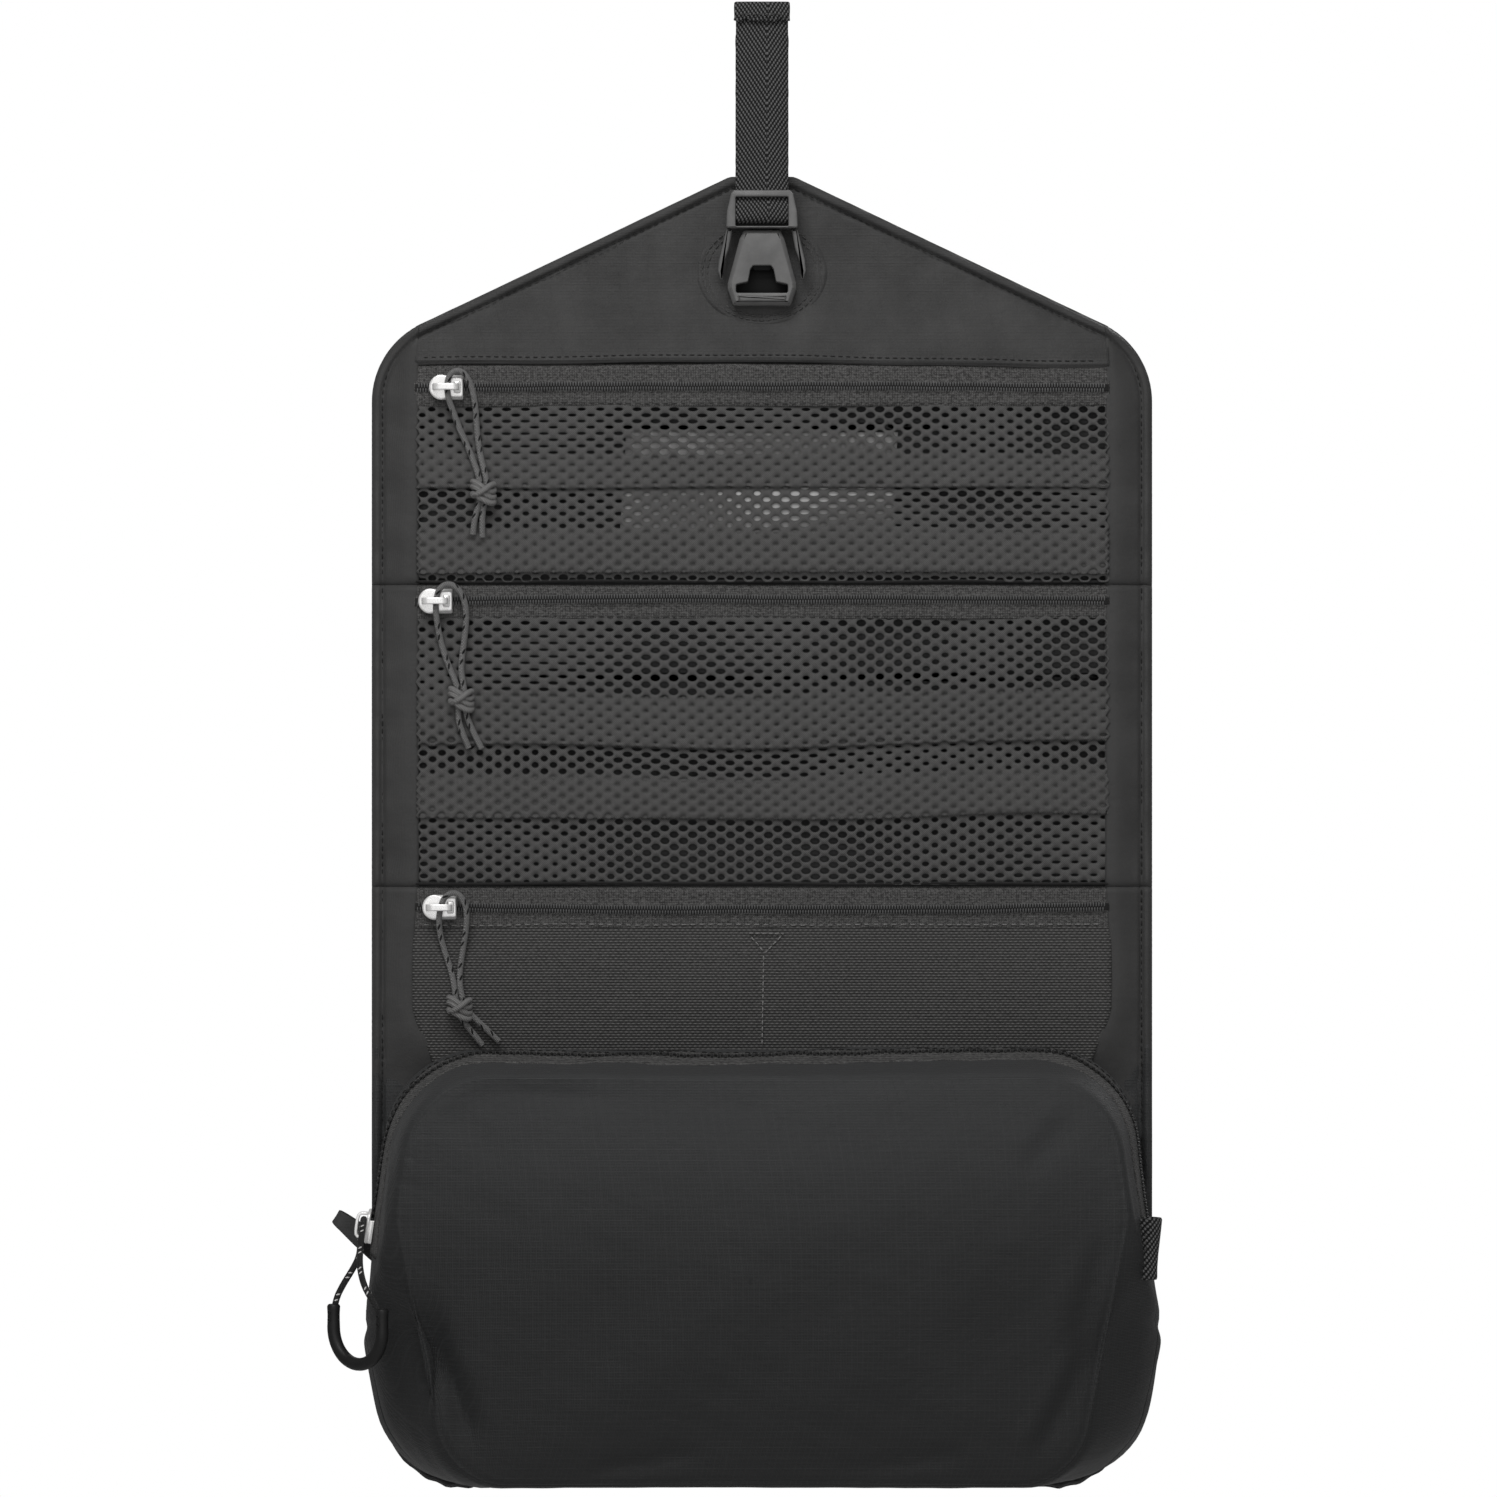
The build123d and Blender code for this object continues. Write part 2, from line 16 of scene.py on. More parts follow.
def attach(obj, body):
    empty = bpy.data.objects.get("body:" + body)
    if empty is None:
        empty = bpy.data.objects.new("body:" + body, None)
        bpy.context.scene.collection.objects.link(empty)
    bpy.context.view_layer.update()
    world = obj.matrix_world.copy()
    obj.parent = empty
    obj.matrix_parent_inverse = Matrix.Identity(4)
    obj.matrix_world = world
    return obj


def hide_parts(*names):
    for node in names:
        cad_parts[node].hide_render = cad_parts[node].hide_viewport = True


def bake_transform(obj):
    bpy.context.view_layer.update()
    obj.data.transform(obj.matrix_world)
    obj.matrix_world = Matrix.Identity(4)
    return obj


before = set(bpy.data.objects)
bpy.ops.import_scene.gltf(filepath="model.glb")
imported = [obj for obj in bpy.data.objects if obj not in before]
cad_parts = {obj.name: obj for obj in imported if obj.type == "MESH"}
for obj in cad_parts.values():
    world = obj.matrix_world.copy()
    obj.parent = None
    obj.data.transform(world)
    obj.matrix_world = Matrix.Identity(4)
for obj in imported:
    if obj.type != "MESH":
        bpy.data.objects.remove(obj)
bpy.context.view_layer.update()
MM = 0.001

# ---- the part's own dimensions, in mm -----------------------------------------------------------
HALF_WIDTH, APEX_Z, APEX_HALF = 145.0, -48.5, 12.0
SHOULDER_Z, SHOULDER_R, BOTTOM_Z, BOTTOM_R = -112.0, 32.0, -538.0, 34.0
# fold: (height, body above, body below)
FOLDS = {
    "flap": (-118.0, "flap", "top_section"),
    "upper": (-200.0, "top_section", "mid_section"),
    "lower": (-312.0, "mid_section", "low_section"),
    "pouch": (-372.0, "low_section", "pouch"),
}
Y_POCKET = -3.6
# zipper: (fold above, coil height, lower edge of the tape, slider's x, foot of the section)
ZIPS = {
    "top": (-118.0, -127.2, -134.0, -117.0, -200.0),
    "mid": (-200.0, -206.4, -213.0, -121.0, -312.0),
    "low": (-312.0, -319.8, -327.5, -119.5, -372.0),
}
EYE_Y = -8.35
CORD_D, MAIN_CORD_D = 2.2, 2.3
ZIP_PLANE_Y, ZIP_END_Z, MAIN_SLIDER_Z = -28.9, -446.0, -436.0
SIDE_X, SIDE_LEAN = 141.75, 8.0
POUCH_FRONT_Y = -56.0
POUCH_HINGE = ("pouch", "pouch_front", -450.0, -434.0)
WEB_T, WEB_W = 1.4, 19.6
HEM = 4.0
WALL = 0.9
FRONT, BEHIND, ACROSS = (0, -1, 0), (0, 1, 0), (-1, 0, 0)


# ---- camera, light and ground -------------------------------------------------------------------
def show(name, data):
    obj = bpy.data.objects.new(name, data)
    bpy.context.scene.collection.objects.link(obj)
    return obj


def add_camera():
    data = bpy.data.cameras.new("camera")
    data.lens, data.sensor_width, data.clip_end = 129.5, 36.0, 50
    cam = show("camera", data)
    cam.location = (-0.005, -2.0, -0.261)
    cam.rotation_euler = (math.radians(90), 0, 0)
    bpy.context.scene.camera = cam


def add_area(name, place, size, energy, aim=(0, 0, -0.27)):
    data = bpy.data.lights.new(name, "AREA")
    data.shape, data.energy = "RECTANGLE", energy
    data.size, data.size_y = size
    lamp = show(name, data)
    lamp.location = place
    way = Vector(aim) - Vector(place)
    lamp.rotation_euler = way.to_track_quat("-Z", "Y").to_euler()


def add_world():
    """White for the camera, dimmer as a light."""
    world = bpy.data.worlds.new("studio")
    bpy.context.scene.world = world
    world.use_nodes = True
    nodes, links = world.node_tree.nodes, world.node_tree.links
    nodes.clear()
    out, mix, ray = (nodes.new("ShaderNode" + kind) for kind in ("OutputWorld", "MixShader", "LightPath"))
    for slot, strength in ((1, 0.2), (2, 1.0)):
        sky = nodes.new("ShaderNodeBackground")
        sky.inputs["Strength"].default_value = strength
        sky.inputs["Color"].default_value = (1, 1, 1, 1)
        links.new(sky.outputs[0], mix.inputs[slot])
    links.new(ray.outputs["Is Camera Ray"], mix.inputs[0])
    links.new(mix.outputs[0], out.inputs[0])


def add_floor():
    """Pale floor well below the hanging bag."""
    x, y = np.meshgrid(np.linspace(-3, 3, 9), np.linspace(2.4, -3.2, 9))
    mesh = bpy.data.meshes.new("floor")
    mesh.from_pydata(at(x, y, -0.9).reshape(-1, 3).tolist(), [], grid_quads(9, 9)[:, ::-1].tolist())
    s = Shade("floor_plaster", 0.8)
    s.place(on_mesh=False)
    s.paint(s.noise(0.01, 2.0), 0.6, 0.66, 0.3, 0.7)
    mesh.materials.append(s.mat)
    show("floor", mesh)


# ---- materials ----------------------------------------------------------------------------------
MATERIALS = {}


class Shade:
    """A node material with short ways to make and join its nodes."""

    def __init__(self, name, rough, sheen=0.0, metallic=0.0):
        self.mat = MATERIALS[name] = bpy.data.materials.new(name)
        self.mat.use_nodes = True
        self.tree = self.mat.node_tree
        self.shader = self.tree.nodes["Principled BSDF"]
        self.shader.inputs["Roughness"].default_value = rough
        self.shader.inputs["Metallic"].default_value = metallic
        self.shader.inputs["Specular IOR Level"].default_value = 0.25
        self.shader.inputs["Sheen Weight"].default_value = sheen
        self.shader.inputs["Sheen Roughness"].default_value = 0.45

    def node(self, kind, **settings):
        made = self.tree.nodes.new("ShaderNode" + kind)
        for key, value in settings.items():
            setattr(made, key, value)
        return made

    def feed(self, target, value):
        if isinstance(value, (int, float)):
            target.default_value = value
        else:
            self.tree.links.new(value, target)

    def op(self, operation, a, b=0.0, *rest):
        """A math node's result from sockets or numbers."""
        made = self.node("Math", operation=operation)
        for target, value in zip(made.inputs, (a, b, *rest)):
            self.feed(target, value)
        return made.outputs[0]

    def add(self, a, b):
        return self.op("ADD", a, b)

    def times(self, a, b):
        return self.op("MULTIPLY", a, b)

    def mix(self, a, share_a, b, share_b):
        """The sum of two values, each scaled."""
        return self.add(self.times(a, share_a), self.times(b, share_b))

    def remap(self, value, span, target=(0.0, 1.0), curve="SMOOTHSTEP"):
        made = self.node("MapRange", interpolation_type=curve)
        sockets = ("Value", "From Min", "From Max", "To Min", "To Max")
        for socket, given in zip(sockets, (value, *span, *target)):
            self.feed(made.inputs[socket], given)
        return made.outputs[0]

    def place(self, on_mesh=True):
        """Rest coordinates in mm, as three sockets."""
        if on_mesh:
            self.where = self.node("Attribute", attribute_name="rest").outputs["Vector"]
        else:
            scaled = self.node("VectorMath", operation="SCALE")
            self.feed(scaled.inputs[0], self.node("TexCoord").outputs["Object"])
            self.feed(scaled.inputs["Scale"], 1000.0)
            self.where = scaled.outputs[0]
        parts = self.node("SeparateXYZ")
        self.feed(parts.inputs[0], self.where)
        return parts.outputs

    def noise(self, scale, detail=3.0, rough=0.6, stretch=None):
        made = self.node("TexNoise")
        source = self.where
        if stretch:
            mapped = self.node("Mapping")
            mapped.inputs["Scale"].default_value = stretch
            self.feed(mapped.inputs[0], source)
            source = mapped.outputs[0]
        for socket, value in (("Scale", scale), ("Detail", detail), ("Roughness", rough), ("Vector", source)):
            self.feed(made.inputs[socket], value)
        return made.outputs["Fac"]

    def ridge(self, coordinate, pitch):
        """A smooth wave of 0 to 1 along a coordinate."""
        return self.op("MULTIPLY_ADD", self.op("SINE", self.times(coordinate, 2 * math.pi / pitch)), 0.5, 0.5)

    def thin_line(self, coordinate, pitch, width):
        """1 on a thin line every pitch, else 0, with soft sides."""
        return self.remap(self.op("PINGPONG", coordinate, pitch / 2), (width, 0.0))

    def paint(self, factor, dark, pale, low=0.0, high=1.0, warm=0.0):
        """Base colour between two greys. A positive warm tilts them to red, a negative one to blue."""
        ramp = self.node("ValToRGB")
        for element, tone, position in zip(ramp.color_ramp.elements, (dark, pale), (low, high)):
            element.position = position
            element.color = (tone * (1 + warm), tone, tone * (1 - warm), 1)
        self.feed(ramp.inputs[0], factor)
        self.feed(self.shader.inputs["Base Color"], ramp.outputs[0])

    def bump(self, height, distance):
        made = self.node("Bump")
        self.feed(made.inputs["Distance"], distance * MM)
        self.feed(made.inputs["Strength"], 1.0)
        self.feed(made.inputs["Height"], height)
        self.feed(self.shader.inputs["Normal"], made.outputs[0])

    def gloss(self, factor, low, high):
        self.feed(self.shader.inputs["Roughness"], self.remap(factor, (0.0, 1.0), (low, high), "LINEAR"))


def cloth(
    name, tone, warm=0.0, weave=0.55, ripstop=0.0, rough=0.62, bump=0.12,
    mottle=0.18, grid_tint=0.0, blend=None,
):
    """Woven cloth: fine crossed threads, soft mottling and, for ripstop, a raised grid. Given blend heights,
    the colour is painted darker towards the bottom and lighter towards the top: painted shade.
    """
    s = Shade(name, rough, 0.06)
    x, y, z = s.place()
    across = s.add(x, y)
    patches, flecks = s.noise(0.045, 4.0), s.noise(1.9, 2.0)
    tint = s.mix(patches, 0.65, flecks, 0.35)
    height = s.add(s.times(s.ridge(across, weave), s.ridge(z, weave)), s.times(flecks, 0.5))
    height = s.add(height, s.times(s.noise(0.22, 3.0, 0.6, (1.0, 1.0, 1.7)), 3.0))
    # Painted shade: with blend heights, the mottling is damped to make room for a ramp by height.
    if blend:
        tint = s.add(s.times(tint, 0.3), 0.36)
    if ripstop:
        grid = s.op("MAXIMUM", s.thin_line(across, ripstop, 0.3), s.thin_line(z, ripstop, 0.3))
        height = s.add(height, s.times(grid, 0.3))
        tint = s.add(tint, s.times(grid, grid_tint))
    # Painted shade and light: the colour ramps by height, darker low and lighter high, as light from above
    # would fall.
    if blend:
        tint = s.add(tint, s.remap(z, blend, (-0.24, 0.24)))
    s.paint(tint, tone * (1 - mottle), tone * (1 + mottle), 0.3, 0.72, warm)
    s.gloss(patches, rough - 0.06, rough + 0.08)
    s.bump(height, bump)


def webbing_material(name, tone, pitch=2.3):
    """Herringbone webbing: slanted ribs that meet in a V along the middle."""
    s = Shade(name, 0.7, 0.08)
    x, y, z = s.place()
    folded = s.op("ABSOLUTE", s.add(x, s.times(y, 0.3)))
    ribs = s.ridge(s.op("SUBTRACT", z, s.times(folded, 1.5)), pitch)
    cross = s.ridge(s.add(z, s.times(folded, 1.5)), pitch * 0.8)
    tint = s.times(s.times(ribs, s.add(cross, 0.35)), s.add(s.noise(1.4, 3.0), 0.5))
    s.paint(tint, tone * 0.1, tone * 3.8, 0.28, 0.7)
    s.bump(s.mix(ribs, 0.6, cross, 0.4), 0.5)


def tape_material(name, tone):
    """Zipper tape: fine ribs across its length and flecks."""
    s = Shade(name, 0.66, 0.06)
    x, y, z = s.place()
    ribs = s.times(s.ridge(s.add(x, y), 0.9), s.ridge(z, 0.62))
    tint = s.mix(ribs, 0.25, s.noise(0.85, 2.0, 0.7, (1.0, 1.0, 1.6)), 0.8)
    s.paint(tint, tone * 0.3, tone * 1.8, 0.32, 0.66, 0.02)
    s.bump(ribs, 0.22)


def knit_material(name, tone, course=1.05, wale=1.9):
    """Dense knit: rows of tiny offset loops, with pale flecks."""
    s = Shade(name, 0.72, 0.06)
    x, _, z = s.place()
    shift = s.times(s.op("SIGN", s.op("SINE", s.times(z, math.pi / course))), 0.5)
    loops = s.ridge(s.add(x, shift), wale)
    stitch = s.times(s.ridge(z, course), s.add(s.times(loops, 0.75), 0.25))
    tint = s.mix(stitch, 0.6, s.noise(0.8, 3.0, 0.7, (1.0, 1.0, 2.4)), 0.5)
    s.paint(tint, tone * 0.25, tone * 2.3, 0.22, 0.78, 0.02)
    s.bump(stitch, 0.4)


def yarn_material(name, tone, pitch=0.75, rough=0.6):
    """Yarn of a mesh, cord or thread, as fine twisted strands."""
    s = Shade(name, rough, 0.06)
    x, y, z = s.place()
    twist = s.ridge(s.add(s.add(x, y), z), pitch)
    s.paint(s.mix(twist, 0.45, s.noise(1.6, 3.0), 0.55), tone * 0.68, tone * 1.3, 0.2, 0.8, 0.015)
    s.bump(twist, 0.12)


def cord_material(name, tone, pitch=1.15):
    """Braided cord sheath: two crossing sets of slanted strands."""
    s = Shade(name, 0.55, 0.1)
    x, y, z = s.place(on_mesh=False)
    lean = s.times(s.add(x, y), 1.6)
    braid = s.times(s.ridge(s.add(z, lean), pitch), s.ridge(s.op("SUBTRACT", z, lean), pitch))
    s.paint(s.mix(braid, 0.6, s.noise(1.2, 2.0), 0.4), tone * 0.55, tone * 1.5, 0.1, 0.9, 0.01)
    s.bump(braid, 0.25)


def moulded(name, tone, rough, warm=0.0, grain=2.6, bump=0.05):
    """Moulded plastic or rubber with a fine grain and rubbed, smoother patches."""
    s = Shade(name, rough)
    s.place()
    fine, broad = s.noise(grain, 4.0), s.noise(0.12, 3.0)
    s.paint(broad, tone * 0.85, tone * 1.15, 0.3, 0.7, warm)
    s.gloss(broad, rough - 0.08, rough + 0.1)
    s.bump(fine, bump)


def metal(name):
    """Bright plated die-cast metal with faint tumbling marks."""
    s = Shade(name, 0.3, metallic=0.4)
    s.place()
    marks = s.noise(3.0, 3.0, 0.6, (1, 1, 5))
    s.paint(s.noise(0.25, 2.0), 0.86, 0.97, 0.3, 0.7, 0.01)
    s.gloss(marks, 0.2, 0.36)
    s.bump(marks, 0.02)


def make_materials():
    cloth("flap_ripstop", 0.050, 0.01, ripstop=2.6, rough=0.58, mottle=0.34)
    cloth("back_cloth", 0.045, rough=0.66)
    cloth("border_cloth", 0.049, 0.01, weave=0.4, rough=0.56, bump=0.06)
    # Heights over which the pouch cloth's colour is painted darker below, as painted shade.
    blend = (-472.0, -368.0)
    cloth("pouch_ripstop", 0.029, -0.02, ripstop=1.95, rough=0.5, mottle=0.37, grid_tint=0.13, blend=blend)
    cloth("label_cloth", 0.44, 0.01, weave=0.7, rough=0.6)
    webbing_material("webbing", 0.034)
    tape_material("zip_tape", 0.075)
    yarn_material("mesh", 0.082)
    knit_material("knit", 0.062)
    yarn_material("thread", 0.075, 0.5)
    yarn_material("dark_thread", 0.016, 0.5)
    yarn_material("pale_thread", 0.23, 0.5)
    cord_material("grey_cord", 0.2)
    cord_material("black_cord", 0.016)
    yarn_material("cord_mesh", 0.175, 0.9, 0.55)
    yarn_material("fleck_black", 0.008)
    yarn_material("fleck_white", 0.7)
    moulded("main_coil", 0.03, 0.5)
    moulded("zip_coil", 0.1, 0.42)
    # Near-black plastic for the buckle's floor, bars and tongue: painted shade inside the buckle.
    moulded("buckle_painted_shade", 0.003, 0.7)
    moulded("buckle_plastic", 0.145, 0.36, warm=0.008, grain=1.5, bump=0.07)
    moulded("grip_rubber", 0.013, 0.45)
    metal("slider_metal")


# ---- mesh building ------------------------------------------------------------------------------
class Build:
    """Collects points in mm and faces, each with its material's number, and makes one piece."""

    def __init__(self):
        self.points, self.faces, self.marks, self.count = [], [], [], 0

    def add(self, points, faces, mark=0):
        points = np.asarray(points, float).reshape(-1, 3)
        faces = faces.tolist() if isinstance(faces, np.ndarray) else faces
        self.points.append(points)
        self.faces.extend([i + self.count for i in face] for face in faces)
        self.marks.extend([mark] * len(faces))
        self.count += len(points)

    def sheet(self, x, z, front_y, back_y):
        """A closed sheet over a grid of places, from the depths of its two sides."""
        self.add(*shell(at(x, front_y, z), at(x, back_y, z), grid_quads(*np.shape(x))))

    def piece(self, name, *materials, slot=None):
        points = np.concatenate(self.points)
        mesh = bpy.data.meshes.new(name)
        mesh.from_pydata((points * MM).tolist(), [], self.faces)
        for material in materials:
            mesh.materials.append(MATERIALS[material])
        mesh.polygons.foreach_set("material_index", self.marks)
        mesh.polygons.foreach_set("use_smooth", [True] * len(self.faces))
        rest = mesh.attributes.new("rest", "FLOAT_VECTOR", "POINT")
        rest.data.foreach_set("vector", points.astype(np.float32).ravel())
        mesh.update()
        obj = show(name, mesh)
        return obj

    def fit(self, name, body, nodes, *materials, slot=None):
        """The piece, on its body and in the place of one CAD node or a list of them."""
        obj = self.piece(name, *materials, slot=slot)
        return settle(obj, body, *([nodes] if isinstance(nodes, str) else nodes))


def settle(obj, body, *nodes):
    """Puts an object on its body in the place of some CAD nodes. Given two bodies and heights instead, it
    only bakes the object's place into its mesh.
    """
    if isinstance(body, str):
        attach(obj, body)
    else:
        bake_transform(obj)
    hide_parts(*nodes)
    return obj


def over(fold, reach=6.0):
    """Two sections and the heights round the fold between them, as one tuple."""
    z, upper, lower = FOLDS[fold]
    return upper, lower, z + reach, z - reach


def at(x, y, z):
    """Points from their coordinates, each a number or an array."""
    return np.stack(np.broadcast_arrays(x, y, z), -1)


def at_depth(flat, y):
    """Points from (x, z) places, at one depth."""
    return at(flat[..., 0], y, flat[..., 1])


def unit(ways):
    return ways / np.linalg.norm(ways, axis=-1, keepdims=True)


def circle(count):
    """Evenly spaced angles of a whole turn."""
    return np.linspace(0, 2 * math.pi, count + 1)[:-1]


def grid_quads(rows, columns, closed=False):
    """Quads of a grid whose rows run downwards and columns to the right, facing -Y."""
    r, c = np.meshgrid(np.arange(rows - 1), np.arange(columns if closed else columns - 1), indexing="ij")
    right, upper, lower = (c + 1) % columns, r * columns, (r + 1) * columns
    return np.stack([upper + c, lower + c, lower + right, upper + right], -1).reshape(-1, 4)


def shell(front, back, quads):
    """A closed sheet from its two faces' points, which share the quads, with rims where the quads end."""
    front, back = np.asarray(front).reshape(-1, 3), np.asarray(back).reshape(-1, 3)
    n = len(front)
    starts, ends = quads.ravel(), np.roll(quads, -1, axis=1).ravel()
    open_edge = ~np.isin(starts * n + ends, ends * n + starts)
    a, b = starts[open_edge], ends[open_edge]
    rims = np.stack([b, a, a + n, b + n], -1)
    return np.concatenate([front, back]), np.concatenate([quads, quads[:, ::-1] + n, rims])


def waves(u, v, seed, size, count=7):
    """Smooth seeded undulation of about -1 to 1, with features of a size."""
    draw = np.random.default_rng(seed)
    total = 0.0
    for _ in range(count):
        ku, kv = draw.normal(size=2) * 2.2 / size
        total = total + np.sin(ku * u + kv * v + draw.uniform(0, 2 * math.pi))
    return total / math.sqrt(count)


def smooth(value, low, high):
    t = np.clip((value - low) / (high - low), 0, 1)
    return t * t * (3 - 2 * t)


def dip(value, middle, width):
    """A bell of height 1."""
    return np.exp(-(((value - middle) / width) ** 2))


def rounded(points, radii, arc=10, closed=False, runs=None):
    """Points round a polyline whose corners are arcs, each of the same count of points."""
    corners, out = [np.array(p, float) for p in points], []
    n = len(corners)
    for i, corner in enumerate(corners):
        if not closed and i in (0, n - 1):
            out.append([corner])
            continue
        before, after = unit(corners[i - 1] - corner), unit(corners[(i + 1) % n] - corner)
        opening = math.acos(np.clip(before @ after, -1, 1))
        tangent = radii[i] / math.tan(opening / 2)
        centre = corner + unit(before + after) * radii[i] / math.sin(opening / 2)
        first, last = corner + before * tangent - centre, corner + after * tangent - centre
        sweep = math.pi - opening
        t = np.linspace(0, 1, arc)[:, None]
        out.append(centre + (np.sin((1 - t) * sweep) * first + np.sin(t * sweep) * last) / math.sin(sweep))
    if runs is None:
        return np.concatenate(out)
    path = []
    for i, piece in enumerate(out):
        start, end = piece[-1], out[(i + 1) % n][0]
        path += [piece, start + (end - start) * np.linspace(0, 1, runs[i] + 2)[1:-1, None]]
    return np.concatenate(path)


def along_line(line, s, t):
    """Places at distances t along a line whose points are at distances s."""
    return np.stack([np.interp(t, s, column) for column in line.T], -1)


def resample(path, step):
    """The same path with points a step apart, and each point's distance along it."""
    path = np.asarray(path, float)
    lengths = np.concatenate([[0], np.cumsum(np.linalg.norm(np.diff(path, axis=0), axis=1))])
    s = np.linspace(0, lengths[-1], max(2, int(round(lengths[-1] / step)) + 1))
    return along_line(path, lengths, s), s


def smooth_path(points, step=0.8):
    """A rounded way through some points, by cutting its corners."""
    points = np.asarray(points, float)
    for _ in range(3):
        a, b = points[:-1], points[1:]
        cut = np.stack([0.75 * a + 0.25 * b, 0.25 * a + 0.75 * b], 1).reshape(-1, 3)
        points = np.concatenate([points[:1], cut, points[-1:]])
    return resample(points, step)[0]


def outward(points):
    """Outward directions of a clockwise (x, z) ring's points, in its plane."""
    along = unit(np.roll(points, -1, axis=0) - np.roll(points, 1, axis=0))
    return np.stack([-along[:, 1], along[:, 0]], -1)


HALF_OUTLINE = rounded(
    [(0, APEX_Z), (APEX_HALF, APEX_Z), (HALF_WIDTH, SHOULDER_Z), (HALF_WIDTH, BOTTOM_Z), (0, BOTTOM_Z)],
    [0, 5, SHOULDER_R, BOTTOM_R, 0],
    arc=24,
)
OUTLINE, OUTLINE_S = resample(HALF_OUTLINE, 0.8)
EDGE = KDTree(len(OUTLINE))
for number, (edge_x, edge_z) in enumerate(OUTLINE):
    EDGE.insert((edge_x, 0, edge_z), number)
EDGE.balance()


def half_width(z):
    """Half of the outline's width at a height."""
    return np.interp(-np.asarray(z, float), -OUTLINE[:, 1], OUTLINE[:, 0])


def top_edge(x):
    """The outline's height over a point of the flap."""
    flap = OUTLINE[: int(np.argmax(OUTLINE[:, 0] > HALF_WIDTH - 0.01))]
    return np.interp(np.abs(x), flap[:, 0], flap[:, 1])


def from_edge(x, z):
    """Distance to the outline and the distance along it, for arrays of points."""
    found = [EDGE.find((abs(a), 0, b)) for a, b in zip(np.ravel(x), np.ravel(z))]
    d = np.array([distance for _, _, distance in found]).reshape(np.shape(x))
    s = OUTLINE_S[[number for _, number, _ in found]].reshape(np.shape(x))
    return d, s + np.where(np.asarray(x) < 0, 3000.0, 0.0)


def puckers(s):
    return waves(s, 0 * s, 5, 7.5, 9) * 0.55 + waves(s, 0 * s, 6, 17, 5) * 0.35


def hem(d, s):
    """How far the stitched hem stands out: a puckered roll, a groove at its stitches and short creases."""
    roll = 1.0 * np.sqrt(np.clip(1 - ((d - HEM / 2) / (HEM / 2)) ** 2, 0, 1)) * (1 + 0.75 * puckers(s))
    groove = -1.1 * dip(d, HEM, 0.8) * (1 + 0.9 * puckers(s + 1.5))
    creases = 1.1 * puckers(s) * np.exp(-np.clip(d - HEM, 0, None) / 4.0) * smooth(d, HEM * 0.6, HEM * 1.1)
    return roll + groove + creases


def stitch_row(build, path, out=FRONT, pitch=2.9, length=2.1, radius=0.24, lift=0.1):
    """A row of thread stitches along a path, each a short bowed strand sunk at its ends."""
    path, s = resample(path, 0.25)
    out = np.asarray(out, float)
    angles = np.arange(6) * math.pi / 3
    profile = [(-0.5, 0.35, -0.5), (-0.28, 1.0, 0.35), (0.0, 1.0, 0.6), (0.28, 1.0, 0.35), (0.5, 0.35, -0.5)]
    caps = [[3, 2, 1, 0], [5, 4, 3, 0], [24, 25, 26, 27], [24, 27, 28, 29]]
    faces = grid_quads(5, 6, closed=True)[:, [0, 3, 2, 1]].tolist() + caps
    for k in range(int(s[-1] / pitch)):
        middle = (k + 0.5) * pitch
        ahead = along_line(path, s, np.array([middle - 0.5 * length, middle + 0.5 * length]))
        along = ahead[1] - ahead[0]
        side = np.cross(along / max(np.linalg.norm(along), 1e-9), out)
        ring = np.cos(angles)[:, None] * side + np.sin(angles)[:, None] * out
        rows = [
            along_line(path, s, middle + t * length) + out * (lift + rise * radius) + girth * radius * ring
            for t, girth, rise in profile
        ]
        build.add(rows, faces, 1)


def ribbon(path, across, half, thick):
    """A strap of webbing along a path of centre points: rounded edges, closed ends.

    across is one direction, or several spread along the path, whose lengths taper the strap.
    """
    path, s = resample(path, 1.0)
    along = unit(np.gradient(path, axis=0))
    across = np.asarray(across, float)
    if across.ndim == 2:
        across = along_line(across, np.linspace(0, 1, len(across)), s / s[-1])
        size = np.linalg.norm(across, axis=1)[:, None]
        across = unit(across - along * np.sum(across * along, axis=1)[:, None]) * size
    else:
        across = np.broadcast_to(across, along.shape)
    u = np.array([-1, -0.985, -0.94, -0.6, -0.2, 0.2, 0.6, 0.94, 0.985, 1])[:, None]
    h = np.array([0.15, 0.6, 0.95, 1, 1, 1, 1, 0.95, 0.6, 0.15])[:, None] * thick / 2
    wobble = 1 + 0.006 * waves(s, 0 * s, 3, 6)[:, None, None]
    flat = path[:, None] + u * half * wobble * across[:, None]
    rise = np.cross(along, across)[:, None] * h
    return shell(flat + rise, flat - rise, grid_quads(len(path), len(u)))


def tube(path, radius, sides=10, closed=False):
    """A round tube along a path, with its ends closed. The radius may differ at each point."""
    path = np.asarray(path, float)
    n = len(path)
    if closed:
        along = unit(np.roll(path, -1, axis=0) - np.roll(path, 1, axis=0))
    else:
        along = unit(np.gradient(path, axis=0))
    side = np.cross(along[0], [0.3, 0.2, 1.0] if abs(along[0][2]) < 0.9 else [1.0, 0.2, 0])
    sides_at = []
    for direction in along:
        side = unit(side - (side @ direction) * direction)
        sides_at.append(side)
    sides_at = np.array(sides_at)[:, None]
    other = np.cross(along, sides_at[:, 0])[:, None]
    angle = (np.arange(sides) * 2 * math.pi / sides)[:, None]
    ring = sides_at * np.cos(angle) + other * np.sin(angle)
    points = (path[:, None] + ring * np.broadcast_to(radius, (n,))[:, None, None]).reshape(-1, 3)
    faces = (grid_quads(n + 1 if closed else n, sides, closed=True) % (n * sides)).tolist()
    if not closed:
        points = np.concatenate([points, path[[0, -1]]])
        last = (n - 1) * sides
        for i in range(sides):
            faces.append([(i + 1) % sides, i, n * sides])
        for i in range(sides):
            faces.append([last + i, last + (i + 1) % sides, n * sides + 1])
    return points, faces


